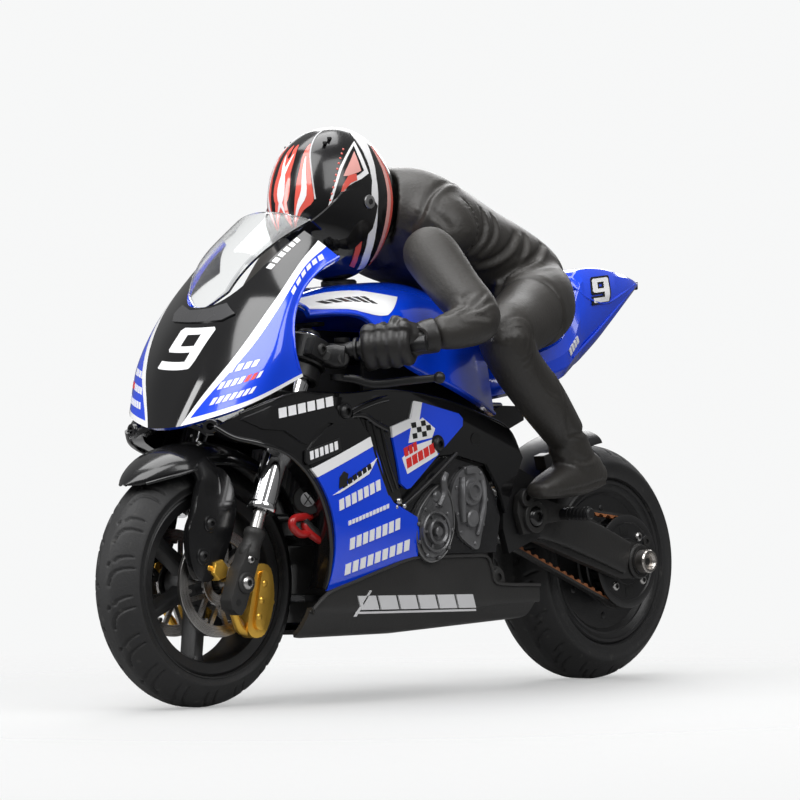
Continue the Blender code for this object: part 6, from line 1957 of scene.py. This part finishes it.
def leg(name, side):
    parts = [limb(leg_line(side), 6, 32)]
    heel, mid, toe = (at_side(Vector(p), side)
                      for p in ((-43.4, 26.2, 53.4), (-31.0, 27.4, 52.4), (-17.0, 28.5, 49.4)))
    parts.append(limb([(heel, 3.9, 3.1), (heel + (mid - heel) * 0.5, 4.5, 4.2), (mid, 4.8, 4.6),
                       (mid + (toe - mid) * 0.6, 4.4, 3.3), (toe, 3.0, 1.8)], 6, 28, power=2.6))
    parts.append(limb([(at_side(ANKLE, side) + Vector((1.2, 0.0, 1.8)), 4.9, 5.6),
                       (at_side(ANKLE, side) + Vector((-3.0, -0.4, -4.0)), 4.8, 5.9),
                       (at_side(ANKLE, side) + Vector((-5.4, -0.6 * side, -6.4)), 4.5, 7.2),
                       (at_side(ANKLE, side) + Vector((-6.2, -0.8 * side, -8.0)), 4.3, 7.4)], 6, 28))
    knee = at_side(KNEE, side)
    strokes = []
    for reach, depth in ((5.2, 0.34), (3.2, 0.3), (7.4, 0.3)):
        ring = []
        for step in range(13):
            angle = math.radians(-150.0 + 250.0 * step / 12.0)
            ring.append(knee + Vector((2.4 + reach * 0.8 * math.sin(angle), 6.0 * side,
                                       -1.6 + reach * math.cos(angle))))
        strokes.append((ring, depth, 0.55))
    ankle = at_side(ANKLE, side)
    strokes.append((beside(ankle, side, (6.0, 2.0, 5.0), (2.0, 5.0, 3.6), (-4.0, 4.0, 5.6)), 0.45, 0.6))
    strokes.append((beside(ankle, side, (5.0, 3.0, -1.6), (0.0, 5.0, -3.4), (-6.0, 4.0, -1.8)), 0.4, 0.7))
    shin = at_side(KNEE + (ANKLE - KNEE) * 0.42, side)
    strokes.append((beside(shin, side, (6.0, 4.0, 3.0), (1.0, 6.0, -1.4), (-4.0, 5.0, -3.0)), 0.3, 0.55))
    strokes.append((beside(shin, side, (-6.0, 4.0, 8.0), (-4.6, 5.0, 2.0), (-8.6, 4.6, -9.0),
                           (-13.0, 4.0, -15.0)), 0.3, 0.6))
    strokes.append(([heel + Vector((-3.4, 2.0 * side, -1.2)), heel + Vector((4.0, 5.0 * side, -2.0)),
                     mid + Vector((0.0, 5.0 * side, -2.6)), toe + Vector((0.0, 4.0 * side, -1.2))], 0.5,
                    0.45))
    piece("rider_leg_moulded_" + name, sculpted(joined(*parts), 0.62, 4, strokes), SUIT, "chassis",
          "rider_leg_" + name, sharp=180.0, slot="suit")


def arm(name, side):
    bend = at_side(VISUAL_ELBOW, side)
    strokes = [(beside(bend, side, (8.0, 3.0, 3.4), (3.6, 5.0, 4.6), (-1.6, 4.6, 5.4)), 0.6, 0.6),
               (beside(bend, side, (7.0, 3.0, 5.6), (3.4, 4.6, 7.0), (-0.6, 4.0, 8.4)), 0.5, 0.6),
               (beside(bend, side, (7.0, 3.6, 2.0), (4.0, 5.0, 1.8), (1.0, 5.4, 0.8)), 0.45, 0.55),
               (beside(bend, side, (10.6, 0.0, 6.0), (6.0, 1.0, 7.0), (2.0, 2.0, 8.0)), 0.4, 0.8)]
    solid = sculpted(limb(arm_line(side), 6, 36), 0.6, 4, strokes)
    piece("rider_arm_moulded_" + name, solid, SUIT, "arm_" + name, "rider_arm_" + name, sharp=180.0,
          slot="suit")


def glove(name, side):
    """Four fingers round the bar, thumb, back and cuff, with one screw head on the cuff."""
    along = (BAR_END - BAR_START).normalized()
    middle = BAR_START + along * (FIST - BAR_START).dot(along)
    forward = (Vector((1.0, 0.0, 0.0)) - along * along.x).normalized()
    above = along.cross(forward)
    if above.z < 0.0:
        above = -above
    parts = []
    for number, offset in enumerate((-3.9, -1.0, 1.9, 4.7)):
        root = middle + along * offset
        size = 1.75 if number < 3 else 1.5
        curl = []
        for step in range(9):
            angle = math.radians(128.0 - 262.0 * step / 8.0)
            reach = 4.1 - 0.5 * step / 8.0
            curl.append(root + forward * reach * math.cos(angle) + above * reach * math.sin(angle))
        parts.append(limb([(p, size, size) for p in curl], 3, 14))
        parts.append(limb([(root + forward * 2.2 + above * 4.0, 1.9, 1.9),
                           (root + forward * 3.6 + above * 2.6, 1.95, 1.9)],
                          3, 14))
    parts.append(limb([(WRIST + (FIST - WRIST) * 0.02, 3.7, 3.5), (WRIST + (FIST - WRIST) * 0.3, 4.5, 4.0),
                       (WRIST + (FIST - WRIST) * 0.62 + Vector((0.4, 0.4, 0.8)), 5.6, 3.9),
                       (middle + above * 2.6 - forward * 0.6, 5.6, 3.4)], 5, 24, along))
    parts.append(limb([(WRIST + (FIST - WRIST) * 0.4, 3.6, 3.4),
                       (middle - along * 3.0 - forward * 3.8 - above * 1.6, 2.1, 2.1),
                       (middle - along * 5.6 - forward * 1.0 - above * 4.2, 1.6, 1.6)], 5, 18))
    back = (FIST - WRIST).normalized()
    parts.append(turned([(2.2, -2.6), (4.0, -2.6), (4.2, -2.2), (4.0, 0.8), (3.4, 1.2), (2.2, 1.2)], WRIST,
                        back, 36))
    hand = sculpted(joined(*parts), 0.42, 2, [
        ([middle + along * k + above * 5.4 - forward * 2.0,
          middle + along * k * 0.9 + above * 4.4 + forward * 3.4], 0.4,
         0.45) for k in (-2.4, 0.5, 3.4)])
    hand = hand if side > 0 else mirrored(hand)
    piece("rider_glove_" + name, hand, GLOVE, "steering_head", "rider_hand_" + name, sharp=180.0, slot="suit")
    face = Vector((0.66, 0.75, 0.06)).normalized()
    spot = WRIST + back * 2.4 + face * 4.0
    ring = turned([(1.5, 0.2), (2.2, 0.2), (2.3, 0.6), (2.1, 0.9), (1.6, 0.8)], spot, face, 28)
    # The pit round the screw head is a near-black disc: painted shade.
    pit = disc(1.6, 0.1, 0.45, spot, face, 28, 1)
    head = turned([(0.0, 0.4), (0.95, 0.4), (0.9, 1.1), (0.5, 1.25), (0.0, 1.25)], spot, face, 24)
    wrist_screw = joined(ring, pit, head)
    wrist_screw = wrist_screw if side > 0 else mirrored(wrist_screw)
    piece("glove_screw_" + name, wrist_screw, [GLOVE, BLACK_PRINT_AND_SHADE], "steering_head")


torso()
for side_name, side_sign in LEFT_RIGHT:
    leg(side_name, side_sign)
    arm(side_name, side_sign)
    glove(side_name, side_sign)


# ---- helmet -------------------------------------------------------------
# Each print: name, outline in degrees along and round the helmet, cell, depth under and over, finish.
HELMET_PRINT = (
    ("triangle",
     ((56.0, 51.0), (70.0, 53.0), (92.0, 56.0), (110.0, 60.0), (126.0, 64.0), (141.0, 67.0), (128.0, 68.6),
      (112.0, 69.0), (98.0, 70.0), (84.0, 77.0), (74.0, 80.0), (64.0, 64.0)),
     3.0, -0.3, 0.1, WHITE),
    ("triangle_dark",
     ((62.0, 54.0), (76.0, 56.0), (94.0, 59.0), (112.0, 63.0), (127.0, 66.0), (112.0, 66.6), (96.0, 67.4),
      (82.0, 73.6), (76.0, 75.0), (68.0, 62.0)),
     3.0, -0.2, 0.15, GLOSS_SOFT),
    ("triangle_pink",
     ((68.0, 58.0), (80.0, 60.4), (94.0, 62.4), (91.0, 66.0), (82.0, 71.6), (78.6, 73.0), (72.0, 64.0)),
     3.0, -0.1, 0.2, PINK),
    ("band",
     ((43.0, 34.0), (41.0, 48.0), (42.0, 62.0), (52.0, 72.0), (62.0, 82.0), (76.0, 92.0), (90.0, 103.0),
      (102.0, 115.0), (112.0, 128.0), (120.0, 148.0), (128.0, 143.0), (122.0, 126.0), (112.0, 112.0),
      (103.0, 102.0), (98.0, 96.0), (86.0, 91.0), (76.0, 86.0), (68.0, 78.0), (60.0, 66.0), (54.0, 54.0),
      (48.0, 42.0)),
     3.0, -0.3, 0.12, WHITE),
    ("crescent",
     ((84.0, 71.0), (90.0, 66.0), (100.0, 65.6), (111.0, 68.6), (103.0, 69.0), (94.0, 71.0), (88.0, 74.6)),
     2.0, -0.2, 0.18, CORAL),
    ("chin",
     ((113.0, 101.0), (119.0, 111.0), (126.0, 121.0), (132.0, 134.0), (136.0, 128.0), (130.0, 116.0),
      (122.0, 104.0)),
     2.0, -0.3, 0.2, CORAL),
)

REAR_STRIPE = ((54.0, 84.0), (68.0, 98.0), (84.0, 110.0), (100.0, 124.0), (112.0, 140.0), (106.0, 142.0),
               (94.0, 127.0), (80.0, 114.0), (64.0, 102.0), (50.0, 87.0))


def port(*sections):
    """A wedge through the front of the helmet from (ahead, upper edge, lower edge) sections."""
    return loft([[helmet_point(ahead, -30.0, top), helmet_point(ahead, 30.0, top),
                  helmet_point(ahead, 30.0, foot), helmet_point(ahead, -30.0, foot)]
                 for ahead, top, foot in sections])


def helmet():
    """Black shell with an open eye port, painted flames, and a visor that tips up."""
    shell = helmet_ball(0.0, 44, 72)
    face = port((4.0, 5.4, -5.6), (30.0, 5.0, -5.0))
    cavity = helmet_ball(-2.2, 20, 32)
    collar = rod(helmet_point(-5.0, 0.0, -24.0), helmet_point(-3.0, 0.0, -8.0), 8.6, 40)
    shell = combine(shell, [face, cavity, collar], "DIFFERENCE")
    piece("helmet_shell", shell, GLOSS_SOFT, "chassis", "helmet", sharp=40.0, slot="helmet_paint")
    lining = combine(helmet_ball(-2.3, 20, 32), [
        rod(helmet_point(-6.0, 0.0, -26.0), helmet_point(-4.0, 0.0, -6.0), 7.6, 32)], "DIFFERENCE")
    piece("helmet_lining", lining, FOAM, "chassis")

    def shown(side):
        def place(along, around, height):
            return helmet_at(along, around * side, height)
        return place

    flames = [
        ((84.0, 3.0), (90.0, 1.0), (97.0, 1.6), (104.0, -5.0), (117.0, -11.0), (131.0, -12.0), (143.0, 2.0),
         (154.0, 20.0), (144.0, 15.0), (134.0, 10.0), (122.0, 9.0), (110.0, 9.0), (98.0, 7.6)),
        ((82.0, 16.0), (89.0, 20.0), (96.0, 25.0), (112.0, 36.0), (125.0, 46.0), (136.0, 37.0), (146.0, 31.0),
         (155.0, 26.0), (143.0, 24.0), (130.0, 22.0), (118.0, 20.0), (106.0, 18.6), (94.0, 16.0)),
    ]
    streaks = [((94.0, 4.6), (104.0, 1.0), (118.0, -4.0), (132.0, -4.0), (147.0, 11.0), (133.0, 2.0),
                (118.0, 1.4), (104.0, 4.0)),
               ((95.0, 20.0), (108.0, 27.0), (124.0, 36.0), (136.0, 31.0), (148.0, 27.0), (134.0, 26.4),
                (122.0, 28.0), (108.0, 23.0))]
    for name, side in LEFT_RIGHT:
        for number, outline in enumerate(flames):
            piece("helmet_flame_%s_%d" % (name, number),
                  sticker(smooth_outline(list(outline), 3), shown(side), 3.0, -0.4, 0.10),
                  CORAL, "chassis")
        for number, outline in enumerate(streaks):
            piece("helmet_streak_%s_%d" % (name, number),
                  sticker(smooth_outline(list(outline), 3), shown(side), 3.0, -0.3, 0.16), WHITE, "chassis")
        for number, (shift, finish) in enumerate(((6.0, PINK), (13.0, CORAL))):
            stripe = [(42.0 - shift * 0.4, 66.0 + shift * 0.3)]
            stripe += [(along, around + shift) for along, around in REAR_STRIPE]
            piece("helmet_rear_stripe_%s_%d" % (name, number), sticker(stripe, shown(side), 3.0, -0.3, 0.1),
                  finish, "chassis")
        for print_name, outline, cell, under, over, finish in HELMET_PRINT:
            piece("helmet_%s_%s" % (print_name, name), sticker(outline, shown(side), cell, under, over),
                  finish, "chassis")
        dots = [dome(helmet_at(along, around * side, 0.0), helmet_at(along, around * side, 1.0)
                     - helmet_at(along, around * side, 0.0), 0.3, 0.18, 8)
                for along, around in zip([73.0 + 4.8 * k for k in range(11)],
                                         [48.5 + 1.5 * k for k in range(11)])]
        piece("helmet_dots_" + name, joined(*dots), CORAL, "chassis")
        crown = [helmet_at(along, around * side, 0.02) for along, around in
                 ((62.0, 12.0), (74.0, 15.0), (90.0, 22.0), (106.0, 33.0), (123.0, 47.0))]
        piece("helmet_crown_line_" + name, cable(crown, 0.22, 6, 8), PALE_GREY, "chassis")
        # Near-black blocks for the vents: painted shade in the openings.
        vents = [block(helmet_at(70.0 + 7.0 * k, 30.0 * side, 0.05), (2.6, 0.9, 0.7), 0.0, 0.6)
                 for k in range(2)]
        piece("helmet_vents_" + name, joined(*vents), BLACK_PRINT_AND_SHADE, "chassis")

    keep = port((0.0, 3.4, -3.4), (5.0, 6.4, -6.2), (30.0, 6.0, -6.0))
    lens = combine(combine(helmet_ball(1.3, 44, 72), [keep], "INTERSECT"), [helmet_ball(0.55, 44, 72)],
                   "DIFFERENCE")
    piece("visor_lens", lens, VISOR, "visor_shield", "visor", sharp=30.0, bevel=0.15, slot="visor_tint")
    for name, side in LEFT_RIGHT:
        spot = helmet_point(1.5, 13.9 * side, -0.6)
        # The six-sided socket in each head is near-black: painted shade.
        head = joined(turned([(0.0, 0.0), (1.7, 0.0), (1.6, 0.35), (0.0, 0.45)], spot, SIDE * side, 28),
                      turned([(0.0, 0.4), (0.8, 0.4), (0.7, 0.65), (0.0, 0.65)], spot, SIDE * side, 6, 1))
        piece("visor_screw_" + name, head, [STEEL_DARK, BLACK_PRINT_AND_SHADE], "visor_shield")


helmet()


# ---- camera, floor and light -------------------------------------------
def sphere_direction(turn, rise):
    """The direction at a turn from +Y towards +X and a rise above level."""
    return Vector((math.sin(turn) * math.cos(rise), math.cos(turn) * math.cos(rise), math.sin(rise)))


def camera():
    """A long lens from the front left, level with the belly pan."""
    turn, rise, roll = math.radians(46.877), math.radians(-2.418), math.radians(-0.914)
    distance = 0.75085
    aim = Vector((0.00123, 0.0, 0.07275))
    back = sphere_direction(turn, rise)
    right = Vector((-math.cos(turn), math.sin(turn), 0.0))
    above = right.cross(-back)
    level = right * math.cos(roll) + above * math.sin(roll)
    upward = above * math.cos(roll) - right * math.sin(roll)
    where = aim + back * distance
    lens = bpy.data.cameras.new("camera")
    lens.lens = 135.04
    lens.sensor_width = 36.0
    lens.clip_start = 0.01
    made = bpy.data.objects.new("camera", lens)
    bpy.context.collection.objects.link(made)
    turned_to = Matrix((level, upward, back)).transposed().to_4x4()
    made.matrix_world = Matrix.Translation(where) @ turned_to
    bpy.context.scene.camera = made


def floor():
    """A pale floor that fades into the backdrop's own tone far from the machine."""
    made, tree, shader = new_material("pale_floor")
    where = wire(tree, "ShaderNodeTexCoord").outputs["Object"]
    far = wire(tree, "ShaderNodeVectorMath", {0: where}, operation="LENGTH").outputs[1]
    fade = spread(tree, far, 0.4, 1.0, 0.08, 0.3)
    clear = wire(tree, "ShaderNodeBsdfTransparent")
    shader.inputs["Base Color"].default_value = (0.56, 0.56, 0.56, 1.0)
    shader.inputs["Roughness"].default_value = 0.7
    shader.inputs["Specular IOR Level"].default_value = 0.2
    mixed = wire(tree, "ShaderNodeMixShader", {0: fade})
    tree.links.new(shader.outputs[0], mixed.inputs[1])
    tree.links.new(clear.outputs[0], mixed.inputs[2])
    tree.links.new(mixed.outputs[0], tree.nodes["Material Output"].inputs["Surface"])
    mesh = bmesh.new()
    bmesh.ops.create_circle(mesh, cap_ends=True, segments=96, radius=0.4)
    data = bpy.data.meshes.new("floor")
    mesh.to_mesh(data)
    data.materials.append(made)
    ground = bpy.data.objects.new("floor", data)
    bpy.context.collection.objects.link(ground)
    ground.location.z = -0.0001


def area_light(name, turn, rise, distance, size, power, tall=None):
    """A soft lamp aimed at the machine's middle, from a compass turn and a rise in degrees."""
    lamp = bpy.data.lights.new(name, "AREA")
    lamp.shape = "RECTANGLE"
    lamp.size = size
    lamp.size_y = tall or size
    lamp.energy = power
    made = bpy.data.objects.new(name, lamp)
    bpy.context.collection.objects.link(made)
    way = sphere_direction(math.radians(turn), math.radians(rise))
    made.location = Vector((0.0, 0.0, 0.07)) + way * distance
    made.rotation_mode = "QUATERNION"
    made.rotation_quaternion = way.to_track_quat("Z", "Y")


def studio():
    """A white room: bright to the eye behind the machine, softer where it is reflected."""
    world = bpy.data.worlds.new("studio")
    bpy.context.scene.world = world
    world.use_nodes = True
    tree = world.node_tree
    shown = tree.nodes["Background"]
    shown.inputs["Color"].default_value = (0.93, 0.935, 0.935, 1.0)
    shown.inputs["Strength"].default_value = 1.0
    way = wire(tree, "ShaderNodeTexCoord").outputs["Generated"]
    height = wire(tree, "ShaderNodeSeparateXYZ", {0: way}).outputs[2]
    tone = wire(tree, "ShaderNodeMapRange", {"Value": height, "From Min": -0.2, "From Max": 0.7,
                                             "To Min": 0.10, "To Max": 0.36}).outputs[0]
    lit = wire(tree, "ShaderNodeBackground", {"Strength": tone})
    path = wire(tree, "ShaderNodeLightPath")
    seen = wire(tree, "ShaderNodeMath",
                {0: path.outputs["Is Camera Ray"], 1: path.outputs["Is Transmission Ray"]},
                operation="MAXIMUM").outputs[0]
    mixed = wire(tree, "ShaderNodeMixShader", {0: seen})
    tree.links.new(lit.outputs[0], mixed.inputs[1])
    tree.links.new(shown.outputs[0], mixed.inputs[2])
    tree.links.new(mixed.outputs[0], tree.nodes["World Output"].inputs["Surface"])
    area_light("key_light", 75.0, 48.0, 0.9, 0.7, 7.2)
    area_light("front_light", 5.0, 35.0, 1.0, 0.6, 4.0)
    area_light("top_light", 200.0, 80.0, 0.8, 0.6, 4.4)
    area_light("rear_light", 235.0, 30.0, 1.0, 0.5, 3.6)
    area_light("strip_light", 120.0, 12.0, 0.8, 0.14, 2.0, tall=0.6)
    bpy.context.scene.view_settings.view_transform = "Standard"


camera()
floor()
studio()
